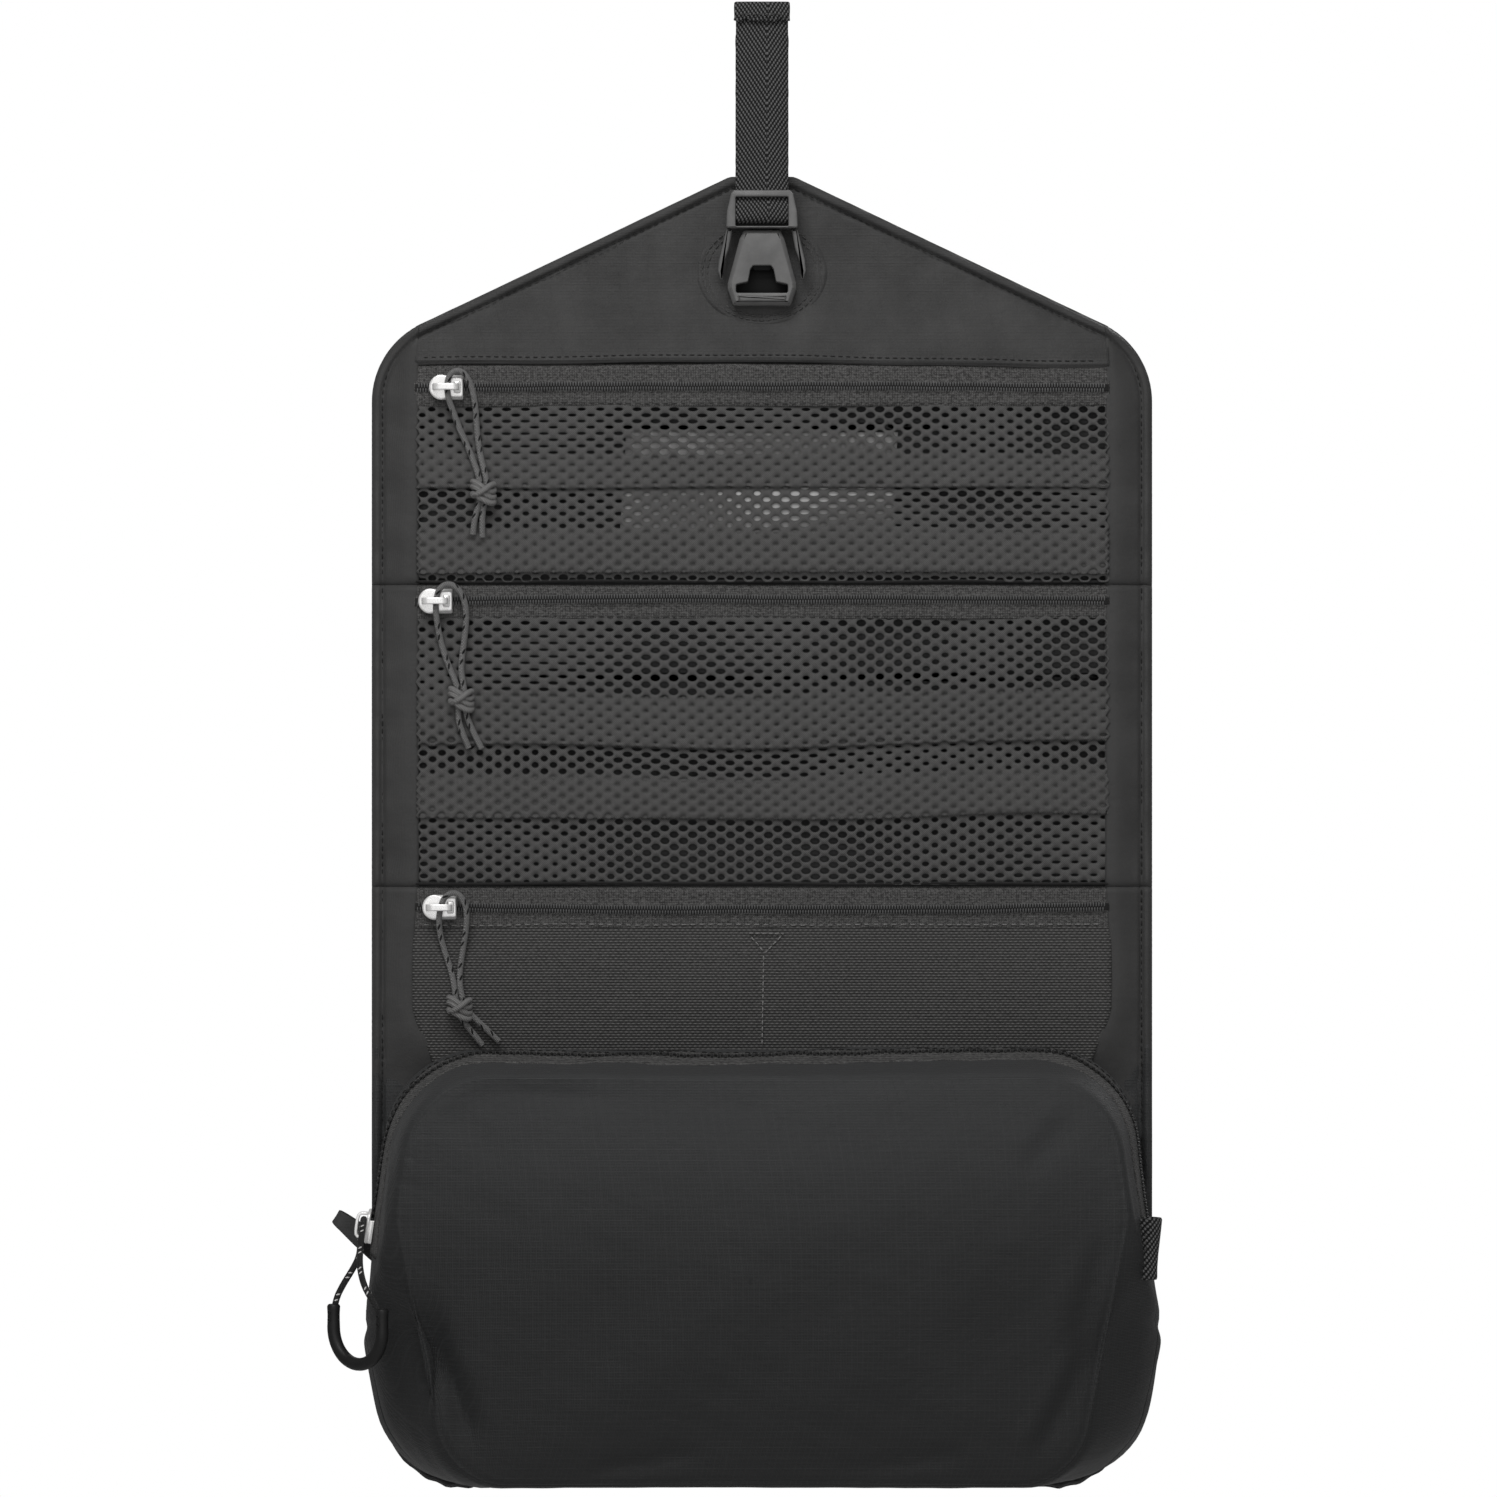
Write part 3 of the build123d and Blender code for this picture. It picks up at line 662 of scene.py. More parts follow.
def prism(outline, levels):
    """A closed solid from an (x, z) outline, drawn at several (y, inset) levels from back to front."""
    outline = np.asarray(outline, float)
    rows = [inset_ring(outline, y, inset) for y, inset in levels]
    n = len(outline)
    top = (len(rows) - 1) * n
    faces = grid_quads(len(rows), n, closed=True).tolist()
    return rows, faces + [list(range(n)), list(range(top + n - 1, top - 1, -1))]


def inset_ring(outline, y, inset):
    """An (x, z) outline drawn in by an inset, at a depth."""
    return at_depth(outline - outward(outline) * inset, y)


# ---- flat panels --------------------------------------------------------------------------------
def edge_columns(fine=0.6, coarse=3.6, margin=6.5):
    """Places from -1 to 1 across a panel, close together near its edges."""
    inner = np.linspace(margin, HALF_WIDTH, int((HALF_WIDTH - margin) / coarse))
    left = -1 + np.concatenate([np.arange(0, margin, fine), inner]) / HALF_WIDTH
    return np.unique(np.round(np.concatenate([left, -left]), 6))


def panel_rows(high, low, step):
    """Heights of a panel's rows, close together near the foot."""
    rows = np.linspace(high, low, int((high - low) / step) + 1)
    if low < BOTTOM_Z + 1:
        near = BOTTOM_Z + np.array([9, 7.6, 6.4, 5.4, 4.6, 3.9, 3.2, 2.5, 1.9, 1.3, 0.8, 0.35, 0.02])
        rows = np.concatenate([rows[rows > BOTTOM_Z + 10], near])
    return rows


def panel_grid(high, low, step=1.5):
    """A grid over the whole width: x, z, the distance to the outline and the distance along it."""
    z = panel_rows(high, low, step)[:, None]
    x = edge_columns() * half_width(z)
    z = np.broadcast_to(z, x.shape)
    return (x, z, *from_edge(x, z))


def sewn_down(y, edge_y, full, least):
    """A cloth's depth, drawn to the depth of its edge where full is 0."""
    return edge_y + (y - edge_y) * (least + (1 - least) * full)


def lift_foot(build):
    """Draws the base's lower edge up in the middle and in at its corners, as the pouch's weight does."""
    for points in build.points:
        x, z = points.T[[0, 2]]
        low = smooth(z, -495.0, -538.0)
        rise = low * (1.6 + 4.8 * smooth(np.abs(x), 122.0, 80.0) + 0.35 * np.sin(x * 0.75))
        pull = smooth(z, -462.0, -515.0) * np.where(x > 0, 6.4, 3.2) * x / HALF_WIDTH
        points += at(-pull, 0, rise)


def hem_rows(build, high, low, depth, out=FRONT, inset=HEM, inner=0.0):
    """Stitches along the hem on both sides, between two heights. depth is a number or gives one for x, z."""
    x, z = OUTLINE.T
    keep = (z <= high) & (z >= low) & (x >= inner)
    if low <= BOTTOM_Z + 4:
        keep |= (z < BOTTOM_Z + BOTTOM_R) & (x >= inner)
    line = OUTLINE[keep]
    along = unit(np.gradient(line, axis=0))
    x, z = (line + np.stack([along[:, 1], -along[:, 0]], -1) * inset).T
    y = depth(x, z) if callable(depth) else depth
    for side in (-1, 1):
        stitch_row(build, at(side * x, y, z), out)


# fold: (top, foot, CAD nodes)
BACK_CLOTHS = {
    "flap": (APEX_Z - 0.02, -143.0, ["flap_back", "top_back_panel"]),
    "upper": (-140.0, -236.0, "mid_back_panel"),
    "lower": (-233.0, -345.0, "low_back_panel"),
    "pouch": (-342.0, BOTTOM_Z, "pouch_back_panel"),
}


def add_back_cloths():
    for fold, (high, low, nodes) in BACK_CLOTHS.items():
        x, z, d, s = panel_grid(high, low)
        rise, full = hem(d, s + 50), smooth(d, 0, 1.4)
        back_y = 2.3 + 0.55 * full + 0.4 * rise + 0.22 * waves(x, z, 21, 46) * full
        build = Build()
        if low > BOTTOM_Z:
            back_y = back_y + 0.35 * smooth(z, low + 4.0, low + 3.2)
        build.sheet(x, z, 2.3 - 0.5 * full - 0.3 * rise, back_y)
        if low > BOTTOM_Z:
            seam_z = low + 2.0
            half = float(half_width(seam_z)) - 5
            t = np.linspace(-half, half, 80)
            stitch_row(build, at(t, 3.3 + 0.22 * waves(t, seam_z, 21, 46), seam_z), BEHIND)
        hem_rows(build, high, low + 3, 2.95, BEHIND)
        lift_foot(build)
        obj = build.fit("back_cloth_" + fold, over(fold), nodes, "back_cloth", "thread")


def flap_y(x, z):
    """The flap cloth's front before its hem: flat, then forward over the top zipper, with soft waves."""
    swell = 0.55 * waves(x, z, 31, 62) + 0.3 * waves(x, z, 32, 24) + 0.09 * waves(x, z, 34, 8)
    near = np.exp(-(((x / 30.0) ** 2 + ((z + 84.0) / 26.0) ** 2) ** 1.5))
    return 1.1 - 4.9 * smooth(z, -86.0, -118.0) - swell * (1 - near) * 0.9 - 0.4 * near


def flap_thread_y(x, z):
    """The depth of the stitches along the flap's hem."""
    return flap_y(x, z) + 0.1


def flap_foot(x):
    """The flap's lower edge, wavy over the top zipper's tape."""
    return -119.0 + 1.3 * np.cos((x + 35) / 46.0) * dip(x, 0, 160.0) + 0.4 * waves(x, 0, 33, 22)


def add_flap():
    share = np.concatenate([np.linspace(0, 0.1, 12), np.linspace(0.115, 0.93, 52), np.linspace(0.94, 1, 7)])
    x = np.broadcast_to(np.linspace(-128.6, 128.6, 190), (len(share), 190))
    high, low = top_edge(x), flap_foot(x)
    z = high - share[:, None] * (high - low)
    d, s = from_edge(x, z)
    full = smooth(d, 0, 1.4)
    y = flap_y(x, z) - hem(d, s) - 0.45 * dip(z, low + 1.6, 1.1) + 0.5 * smooth(z, low + 1.6, low)
    build = Build()
    build.sheet(x, z, sewn_down(y, 2.0, full, 0.35), np.maximum(y + 0.8, -2.9) * full + 2.1 * (1 - full))
    hem_rows(build, APEX_Z, -104.0, flap_thread_y, inner=3)
    t = np.linspace(-126, 126, 120)
    seam = flap_foot(t) + 2.6
    stitch_row(build, at(t, flap_y(t, seam) - 0.1, seam))
    obj = build.fit("flap_cloth", over("flap", 5.0), "flap_front", "flap_ripstop", "dark_thread")


def inner_edge(z):
    """Where a side border starts, as half of the window's width at a height."""
    return 127.7 + 1.6 * dip(z, -338.0, 17.0) - 9.5 * smooth(z, -354.0, -388.0)


def border_y(share, z):
    """A border's front across its width: 0 at the window, 1 at the hem."""
    depth = 1.0 - 0.72 * smooth(z, -366.0, -390.0)
    body = -4.0 + 4.4 * smooth(share, 0.18, 1.0) ** 0.9
    return 1.6 + (body - 1.6) * depth


# section: (top, foot, body)
BORDERS = {
    "top": (-104.4, -200.4, over("flap", 5.0)),
    "mid": (-198.9, -312.4, "mid_section"),
    "low": (-310.9, -404.0, over("pouch", 5.0)),
}


def add_border(name, side, word):
    """A strip of smooth cloth beside a pocket, with its puckered hem."""
    high, low, body = BORDERS[name]
    middle = np.linspace(high - 4, low + 4, int((high - low) / 1.3))
    rows = np.concatenate([np.linspace(high, high - 4, 7)[:-1], middle, np.linspace(low + 4, low, 9)[1:]])
    share = np.concatenate([np.linspace(0, 0.16, 6)[:-1], np.linspace(0.16, 1, 24)])
    z = rows[:, None]
    inner = np.minimum(inner_edge(z) - 0.5, half_width(z) - 0.4)
    x = inner + share * (half_width(z) - inner)
    z = np.broadcast_to(z, x.shape)
    d, s = from_edge(x, z)
    swell = 0.35 * waves(x * side, z, 41 + side, 26) + 0.2 * waves(x, z, 43 + side, 11)
    y = border_y(share, z) - swell * np.sin(share * math.pi) - 1.05 * hem(d, s)
    y = y + 0.7 * smooth(share, 0.05, 0.0)
    if name != "top":
        y = y + 2.4 * smooth(z, high - 3.2, high)
    y = y + (2.2 * smooth(z, low + 12, low) if name == "low" else 1.6 * np.exp((low - z) / 1.1))
    y = sewn_down(y, 2.0, smooth(d, 0, 1.2), 0.35)
    back_y = np.maximum(np.minimum(y + 1.6, 1.75), y + 0.15)
    build = Build()
    build.sheet((side * x)[:, ::side], z, y[:, ::side], back_y[:, ::side])
    line_z = np.linspace(high - 2, low + 2, 90)
    outer = half_width(line_z) - HEM
    stitch_row(build, at(side * outer, 0.62, line_z)[outer > inner_edge(line_z) + 3])
    build.fit(f"{name}_border_cloth_{word}", body, f"{name}_border_{word}", "border_cloth", "dark_thread")


def add_pouch_base():
    """The panel behind the pouch, whose hem shows round its lower corners."""
    x, z, d, s = panel_grid(-371.0, BOTTOM_Z, 1.6)
    y = 1.0 - 1.5 * hem(d, s) - 0.3 * waves(x, z, 51, 18)
    build = Build()
    build.sheet(x, z, sewn_down(y, 1.9, smooth(d, 0, 1.3), 0.3), 1.95)
    hem_rows(build, -404.0, BOTTOM_Z, 1.0, inner=60)
    hem_rows(build, -440.0, BOTTOM_Z, -0.6, inset=1.7, inner=60)
    lift_foot(build)
    nodes = "pouch_back_panel"
    obj = build.fit("pouch_base_cloth", over("pouch", 5.0), nodes, "pouch_ripstop", "dark_thread")


# ---- pockets ------------------------------------------------------------------------------------
# zipper: (seed of its waves, droop of its middle)
ZIP_SWAY = {"top": (61, 0.6), "mid": (62, 1.0), "low": (63, -0.9)}


def zip_line(name, x):
    """A zipper's middle height along its length, a little wavy."""
    seed, droop = ZIP_SWAY[name]
    return ZIPS[name][1] + droop * np.cos(x / 75.0) + 0.2 * waves(x, 0, seed, 30)


def add_zipper_tape(name, band=2.3):
    """Tape with a raised band along its middle, under the coil."""
    high, low = ZIPS[name][0] - 0.25, ZIPS[name][2]
    x = np.linspace(-128.9, 128.9, 260)
    share = np.array([0, 0.05, 0.1, 0.18, 0.3, 0.42, 0.5, 0.6, 0.7, 0.8, 0.88, 0.95, 1.0])[:, None]
    turn = np.array([0.12, 0.28, 0.42, 0.49, 0.51, 0.58, 0.72, 0.88, 1.0])[:, None]
    mid, foot = zip_line(name, x), low + 0.35 * waves(x, 0, 64, 26)
    upper, lower = high + share * (mid + band - high), mid - band + share[1:] * (foot - mid + band)
    z = np.concatenate([upper, mid + band - 2 * band * turn, lower])
    x = np.broadcast_to(x, z.shape)
    y = Y_POCKET - 0.05 - 0.3 * smooth(np.abs(z - mid), band + 0.6, band - 0.9) - 0.22 * waves(x, z, 65, 19)
    y = y + 1.5 * smooth(z, high - 1.5, high) + 0.25 * smooth(z, foot + 0.5, foot)
    build = Build()
    build.sheet(x, z, y, np.maximum(y + 0.55, Y_POCKET + 0.45))
    t = np.linspace(-126, 126, 150)
    row = at(t, Y_POCKET - 0.1, low + 1.2 + 0.35 * waves(t, 0, 64, 26))
    stitch_row(build, row, pitch=3.4, length=2.2)
    thread = "pale_thread" if name == "low" else "thread"
    build.fit(name + "_zipper_tape", name + "_section", name + "_zip_tape", "zip_tape", thread)


def add_zipper_coil(name, pitch=1.02):
    """Two rows of coil turns that meet on a dark thread in the middle."""
    build = Build()
    t = np.linspace(-128.6, 128.6, 250)
    build.add(*ribbon(at(t, Y_POCKET - 0.62, zip_line(name, t)), (0, 0, -1), 1.3, 0.3), 1)
    bow = [(-0.65, 1.6), (-0.95, 1.25), (-0.97, 0.6), (-0.75, 0.24)]
    for side, shift in ((-1, 0), (1, 0.5)):
        for k in range(int(255 / pitch)):
            x = -127.6 + pitch * (k + shift)
            middle = zip_line(name, x)
            path = [(x, Y_POCKET + out, middle + side * up) for out, up in bow]
            build.add(*tube(path, [0.2, 0.3, 0.31, 0.22], sides=5))
    build.fit(name + "_zipper_coil", name + "_section", name + "_zip_coil", "zip_coil", "dark_thread")


HOLE_PITCH, HOLE = (6.9, 4.7), (1.62, 1.06)
MESH_T = 0.32


def mesh_pattern(width, length, openness):
    """Flat net: hexagonal cells with an oval hole each, as (across, along) points and quads."""
    a, b = HOLE_PITCH
    mid = (a * a / 4 + b * b / 4) / a
    top = a / 2 - mid
    hexagon = np.array([(mid, 0), (top, b / 2), (-top, b / 2), (-mid, 0), (-top, -b / 2), (top, -b / 2)])
    outer = np.stack([hexagon, (hexagon + np.roll(hexagon, -1, axis=0)) / 2], 1).reshape(-1, 2)
    angle = np.arctan2(outer[:, 1] / HOLE[1], outer[:, 0] / HOLE[0])
    inner = np.stack([np.cos(angle), np.sin(angle)], -1) * HOLE
    cells = []
    for row in range(int(length / (b / 2)) + 1):
        cells += [(x - width / 2, row * b / 2) for x in np.arange(a / 2 * (1 + row % 2), width, a)]
    cells = np.array(cells)
    rim = (cells[:, None] + outer).reshape(-1, 2)
    keys, where = np.unique(np.round(rim * 200).astype(int), axis=0, return_inverse=True)
    where = where.reshape(-1, 12)
    u, v = cells.T
    grown = 0.9 + 0.22 * waves(u, v, 76, 38)
    squeezed = grown * (0.88 + 0.24 * waves(u * 0.5, v, 75, 18))
    size = np.clip(np.stack([grown, squeezed], -1), 0.35, 1.12) * openness(u, v)[:, None]
    holes = (cells[:, None] + inner * size[:, None]).reshape(-1, 2)
    ids = len(keys) + np.arange(len(holes)).reshape(-1, 12)
    quads = np.stack([where, np.roll(where, -1, axis=1), np.roll(ids, -1, axis=1), ids], -1)
    return np.concatenate([keys / 200.0, holes]), quads.reshape(-1, 4)


# Heights where each mesh front lies double over a pleat, and its holes are pulled nearly shut.
DOUBLED = {"top": ((-164.5, -153.0), (-195.5, -181.0)), "mid": ((-257.5, -240.5), (-284.5, -270.5))}
PLEAT_SEEDS = {"top": 74, "mid": 75}
# A mesh front's side profile from its top to its foot, as (y, z), with the pleats' hidden turns.
MESH_PROFILES = {
    "top": [
        (-3.2, -133.0), (-3.9, -143.0), (-4.6, -155.0), (-4.7, -164.4), (-4.5, -165.5), (-4.3, -164.6),
        (-4.2, -158.0), (-4.05, -153.2), (-3.95, -152.2), (-3.8, -153.2), (-3.6, -165.0), (-4.1, -175.0),
        (-4.75, -184.0), (-4.8, -195.4), (-4.6, -196.6), (-4.4, -195.6), (-4.3, -188.0), (-4.2, -181.2),
        (-4.05, -180.2), (-3.9, -181.2), (-3.7, -190.0), (-3.2, -199.4),
    ],
    "mid": [
        (-3.2, -212.0), (-3.7, -226.0), (-4.6, -243.0), (-4.8, -257.4), (-4.6, -258.9), (-4.4, -257.6),
        (-4.25, -248.0), (-4.1, -240.2), (-3.95, -239.0), (-3.8, -240.2), (-3.6, -259.0), (-4.0, -266.0),
        (-4.7, -274.0), (-4.8, -284.6), (-4.6, -286.0), (-4.4, -284.8), (-4.3, -277.0), (-4.15, -270.6),
        (-4.0, -269.4), (-3.85, -270.6), (-3.6, -287.0), (-3.6, -299.0), (-3.0, -311.4),
    ],
}


def pleat_line(name, z, x):
    """Gentle rise and fall of the pleats along the pocket, nothing at its sewn edges."""
    high, low = ZIPS[name][2], ZIPS[name][4]
    inside = np.clip((high - z) / (high - low), 0, 1)
    sway = 1.3 * waves(x, 0, PLEAT_SEEDS[name], 85) + 0.5 * waves(x, z, 74, 34)
    return sway * np.sin(inside * math.pi) ** 0.7


def add_mesh_pocket(name):
    profile, s = resample(MESH_PROFILES[name], 0.2)

    def openness(across, along):
        z = np.interp(along, s, profile[:, 1]) + 1.6 * waves(across, 0, 72, 30)
        bands = [smooth(z, low - 1, low + 1) * smooth(z, high + 2, high - 1) for low, high in DOUBLED[name]]
        return 1.08 - 0.42 * np.clip(sum(bands), 0, 1)

    flat, quads = mesh_pattern(258.0, s[-1], openness)
    u, v = flat.T
    y, z = along_line(profile, s, v).T
    slope_y, slope_z = along_line(unit(np.gradient(profile, axis=0)), s, v).T
    x = u + 0.35 * waves(u, v, 77, 40)
    z = np.maximum(z + pleat_line(name, z, x), ZIPS[name][4] + 0.3)
    y = y - 0.45 * waves(x, z, 78, 42) - 0.15 * waves(x, z, 79, 15)
    middle, out = at(x, y, z), at(0, slope_z, -slope_y) * MESH_T / 2
    build = Build()
    build.add(*shell(middle + out, middle - out, quads))
    obj = build.fit(name + "_mesh_cloth", name + "_section", name + "_pocket_front", "mesh")


def add_mesh_hem(name):
    """The mesh's bound foot at the fold, a narrow dark roll."""
    t = np.linspace(-128.4, 128.4, 130)
    z = ZIPS[name][4] + 0.9 + 0.25 * waves(t, 0, 82, 44)
    build = Build()
    build.add(*tube(at(t, -3.1 - 0.1 * waves(t, 0, 81, 30), z), 0.55, sides=8))
    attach(build.piece(name + "_mesh_hem", "dark_thread", slot="mesh"), name + "_section")


# The pale stitches in the middle of the knit, as (x, z).
KNIT_SEAM = [(0.6, -337.4), (0.3, -356.0), (0.0, -372.6)]
KNIT_TRIANGLE = [(-5.2, -329.4), (8.0, -329.6), (1.1, -336.8), (-5.2, -329.4)]


def add_knit_pocket():
    """The lower pocket's knit front, tucked under the pouch's top, with its marked middle."""
    _, _, high, _, low = ZIPS["low"]
    z, x = np.linspace(high + 1.5, low - 2.0, 46)[:, None], np.linspace(-129.5, 129.5, 150)
    z = z - 14.0 * smooth(z, -352.0, low - 2.0) * smooth(np.abs(x), 98.0, 122.0)
    x = x * np.minimum(1.0, (inner_edge(z) + 1.6) / 129.5)
    arch = np.sin(np.clip((high - z) / (high - low), 0, 1) * math.pi)
    stitched = dip(x, 0, 7.0) * smooth(z, high - 9, high - 20)
    y = Y_POCKET + 0.1 - 1.1 * arch * (1 - 0.7 * stitched) - 0.4 * waves(x, z, 85, 48) * arch
    build = Build()
    build.sheet(x, z, y, y + 0.7)
    for places in (KNIT_SEAM, KNIT_TRIANGLE):
        path = at_depth(np.array(places), Y_POCKET - 0.72)
        stitch_row(build, path, pitch=2.4, length=2.0, radius=0.3, lift=0.15)
    obj = build.fit("low_knit_cloth", "low_section", "low_pocket_front", "knit", "pale_thread")


def add_label():
    """Blank cloth patch behind the top mesh, a little askew."""
    u, v = np.meshgrid(np.linspace(-1, 1, 34), np.linspace(1, -1, 16))
    x, z = 50.4 * u - 1.1 + 1.1 * v, -162.0 + 18.5 * v - 0.2 * u
    y = -2.2 - 0.9 * smooth(z, -160.0, -166.0) - 0.1 * waves(x, z, 88, 20)
    build = Build()
    build.sheet(x, z, y, y + 0.3)
    build.fit("label_cloth_patch", "top_section", "label_patch", "label_cloth")


# ---- pouch --------------------------------------------------------------------------------------
RING_RUNS = (80, 20, 18, 70, 18, 20)


def ring(top, top_half, top_r, wide, wide_z, wide_r, low_half, low, low_r):
    """A cross outline of the pouch as (x, z) points, clockwise from its top left corner."""
    right = [(top_half, top), (wide, wide_z), (low_half, low)]
    left = [(-x, z) for x, z in right[::-1]]
    radii = [top_r, top_r, wide_r, low_r, low_r, wide_r]
    return rounded(left[2:] + right + left[:2], radii, 14, True, RING_RUNS)


RING_Y = (1.8, ZIP_PLANE_Y, POUCH_FRONT_Y)
RINGS = [
    ring(-373.0, 138, 34, 144.0, -470, 30, 133, -534.0, 32),
    ring(-374.0, 133, 36, 145.2, -470, 30, 132, -530.5, 33),
    ring(-379.0, 126, 32, 134.0, -430, 30, 115, -528.3, 27),
]
# crease of the front panel: (start, end, width, depth)
CREASES = [
    ((-125, -462), (-106, -508), 5.4, 4.0),
    ((-131, -452), (-119, -490), 5.0, 1.4),
    ((118, -480), (100, -514), 4.0, 1.5),
    ((-112, -392), (-96, -408), 4.5, 0.9),
    ((112, -394), (95, -412), 4.5, 0.9),
    ((126, -440), (113, -478), 5.5, 1.1),
    ((-60, -522), (-24, -515), 4.0, 0.8),
    ((30, -523), (74, -514), 4.5, 0.8),
]


def ring_at(y):
    """The pouch's outline at a depth: the three rings joined by one smooth curve."""
    y0, y1, y2 = RING_Y
    a = (y - y1) * (y - y2) / ((y0 - y1) * (y0 - y2))
    b = (y - y0) * (y - y2) / ((y1 - y0) * (y1 - y2))
    c = (y - y0) * (y - y1) / ((y2 - y0) * (y2 - y1))
    return a * RINGS[0] + b * RINGS[1] + c * RINGS[2]


def gusset_swell(x, y, z):
    """Soft dents of the gusset, and the crease where its sides belly out below the tabs."""
    dents = 0.7 * waves(x + y, z, 91, 34) + 0.35 * waves(x - y, z, 92, 14)
    side = smooth(np.abs(x), 128, 140)
    crease = -1.6 * side * dip(z, -470 - 0.35 * (y + 30), 4.0)
    belly = 1.3 * side * smooth(z, -455, -478) * smooth(z, -528, -500)
    ends = smooth(y, POUCH_FRONT_Y - 0.5, POUCH_FRONT_Y + 7) * smooth(y, 2.0, -5.0)
    return (dents + crease + belly) * ends


def swollen_ring(y, proud=0.0):
    """The pouch's outline at a depth with its dents, and its outward directions."""
    flat = ring_at(y)
    out = outward(flat)
    return flat + out * (proud + gusset_swell(flat[:, 0], y, flat[:, 1]))[:, None], out


def ring_rows(ys):
    """Points on the pouch's sides at some depths, each row a whole ring, and their outward directions."""
    rings = [swollen_ring(y) for y in ys]
    rows = np.array([at_depth(flat, y) for (flat, _), y in zip(rings, ys)])
    return rows, np.array([at_depth(out, 0) for _, out in rings])


def side_dent(x, z):
    """Where the gusset folds in under the front panel's edge, mostly low on the left."""
    return dip(z, -482.0, 17.0) * (x < 0) + 0.35 * dip(z, -478.0, 14.0) * (x > 0)


def panel_relief(x, z):
    """How far the pouch's front panel stands out of its soft dome: long swells and sagging creases."""
    relief = 0.9 * waves(x * 0.7, z, 95, 60) + 0.35 * waves(x, z * 0.8, 96, 22) + 0.12 * waves(x, z, 97, 8)
    for (x0, z0), (x1, z1), width, depth in CREASES:
        length = math.hypot(x1 - x0, z1 - z0)
        way_x, way_z = (x1 - x0) / length, (z1 - z0) / length
        t = (x - x0) * way_x + (z - z0) * way_z
        off = (x - x0) * way_z - (z - z0) * way_x
        blend = smooth(t, -8, 8) * smooth(t, length + 8, length - 8)
        relief = relief - depth * blend * (dip(off, 0, width) - 0.6 * dip(off, 1.7 * width, width))
    return relief


def front_panel():
    """Rows from the front seam to the middle of the front panel, with the seam's welt, dome and sag."""
    edge, centre = ring_at(POUCH_FRONT_Y), np.array([0.0, -452.0])
    reach = np.linalg.norm(edge - centre, axis=1)
    shares = [1 - inset / reach for inset in (1.5, 2.2, 3.0, 3.9, 5.0, 6.4)]
    k = np.array(shares + [share * shares[-1] for share in np.linspace(0.97, 0.03, 50)])
    flat = centre + (edge - centre) * k[..., None]
    x, z = flat[..., 0], flat[..., 1]
    inset = (1 - k) * reach
    dome = (1 - k**2.2) ** 0.9 * (1.0 + 0.45 * smooth(z, -400, -500) - 0.3 * smooth(z, -420, -380))
    groove = 0.3 * dip(inset, 2.9, 0.9) * (1 - 0.7 * smooth(z, -395, -385))
    fine = puckers(np.arange(len(edge)) * 2.4) * 0.5 * np.exp(-inset / 4.0) * (1 - np.exp(-inset / 1.2))
    y = POUCH_FRONT_Y - 0.3 - 7.0 * dome - panel_relief(x, z) * np.clip((inset - 1.2) / 9, 0, 1)
    y = y + groove - fine + 6.0 * side_dent(x, z) * dip(inset, 0, 7.0) * smooth(inset, 1.0, 3.5)
    return at(x, y, z)


def front_gusset():
    """The front half of the pouch's sides. Below the zipper's ends it laps behind the back half."""
    ys = np.concatenate([[-29.05, -29.15], np.linspace(-29.3, -52, 20), [-53.4, -54.6, -55.4, -55.9]])
    sides, outs = ring_rows(ys)
    lap = smooth(sides[0, :, 2], -447.5, -450.0)[:, None]
    for row, base, tuck, back in ((0, 0.15, 0.9, 1.05), (1, 0.05, 0.97, 0.1)):
        sides[row] += [0.0, back, 0.0] * lap - outs[row] * (base + tuck * lap)
    rounding = np.array([0.0] * 23 + [0.2, 0.55, 1.05])[:, None]
    x, y, z = np.moveaxis(sides, -1, 0)
    dent = 6.5 * side_dent(x, z) * smooth(y, -38.0, -53.0)
    dent = dent * smooth(y, POUCH_FRONT_Y - 1.0, POUCH_FRONT_Y + 2.4)
    return sides - outs * (rounding + dent)[..., None], outs


def add_pouch():
    rows, outs = ring_rows(np.concatenate([np.linspace(2.2, -2, 6), np.linspace(-4, -28.75, 22)]))
    build = Build()
    build.add(*shell(rows, rows - outs * WALL, grid_quads(*rows.shape[:2], closed=True)))
    build.fit("pouch_gusset_cloth", "pouch", "pouch_back_gusset", "pouch_ripstop")
    (sides, outs), panel = front_gusset(), front_panel()
    skin = np.concatenate([sides, panel])
    inward = np.concatenate([-outs, np.broadcast_to(BEHIND, panel.shape)])
    build = Build()
    build.add(*shell(skin, skin + inward * WALL, grid_quads(*skin.shape[:2], closed=True)))
    face = build.piece("pouch_front_cloth", "pouch_ripstop")
    close_middle(face, *skin.shape[:2])
    nodes = ("front_panel_upper", "front_panel_lower", "front_gusset_upper", "front_gusset_lower")
    settle(face, POUCH_HINGE, *nodes)


def close_middle(obj, rows, count):
    """Fills the small round gap left in the middle of the front panel, skin and lining."""
    mesh = bmesh.new()
    mesh.from_mesh(obj.data)
    mesh.verts.ensure_lookup_table()
    starts = ((rows - 1) * count, (2 * rows - 1) * count)
    skin, lining = ([mesh.verts[i] for i in range(start, start + count)] for start in starts)
    inner = set(skin + lining)
    walls = [face for face in mesh.faces if inner.issuperset(face.verts)]
    bmesh.ops.delete(mesh, geom=walls, context="FACES")
    for loop in (skin[::-1], lining):
        made = mesh.faces.new(loop)
        made.smooth = True
        bmesh.ops.triangulate(mesh, faces=[made])
    mesh.normal_update()
    mesh.to_mesh(obj.data)
    mesh.free()


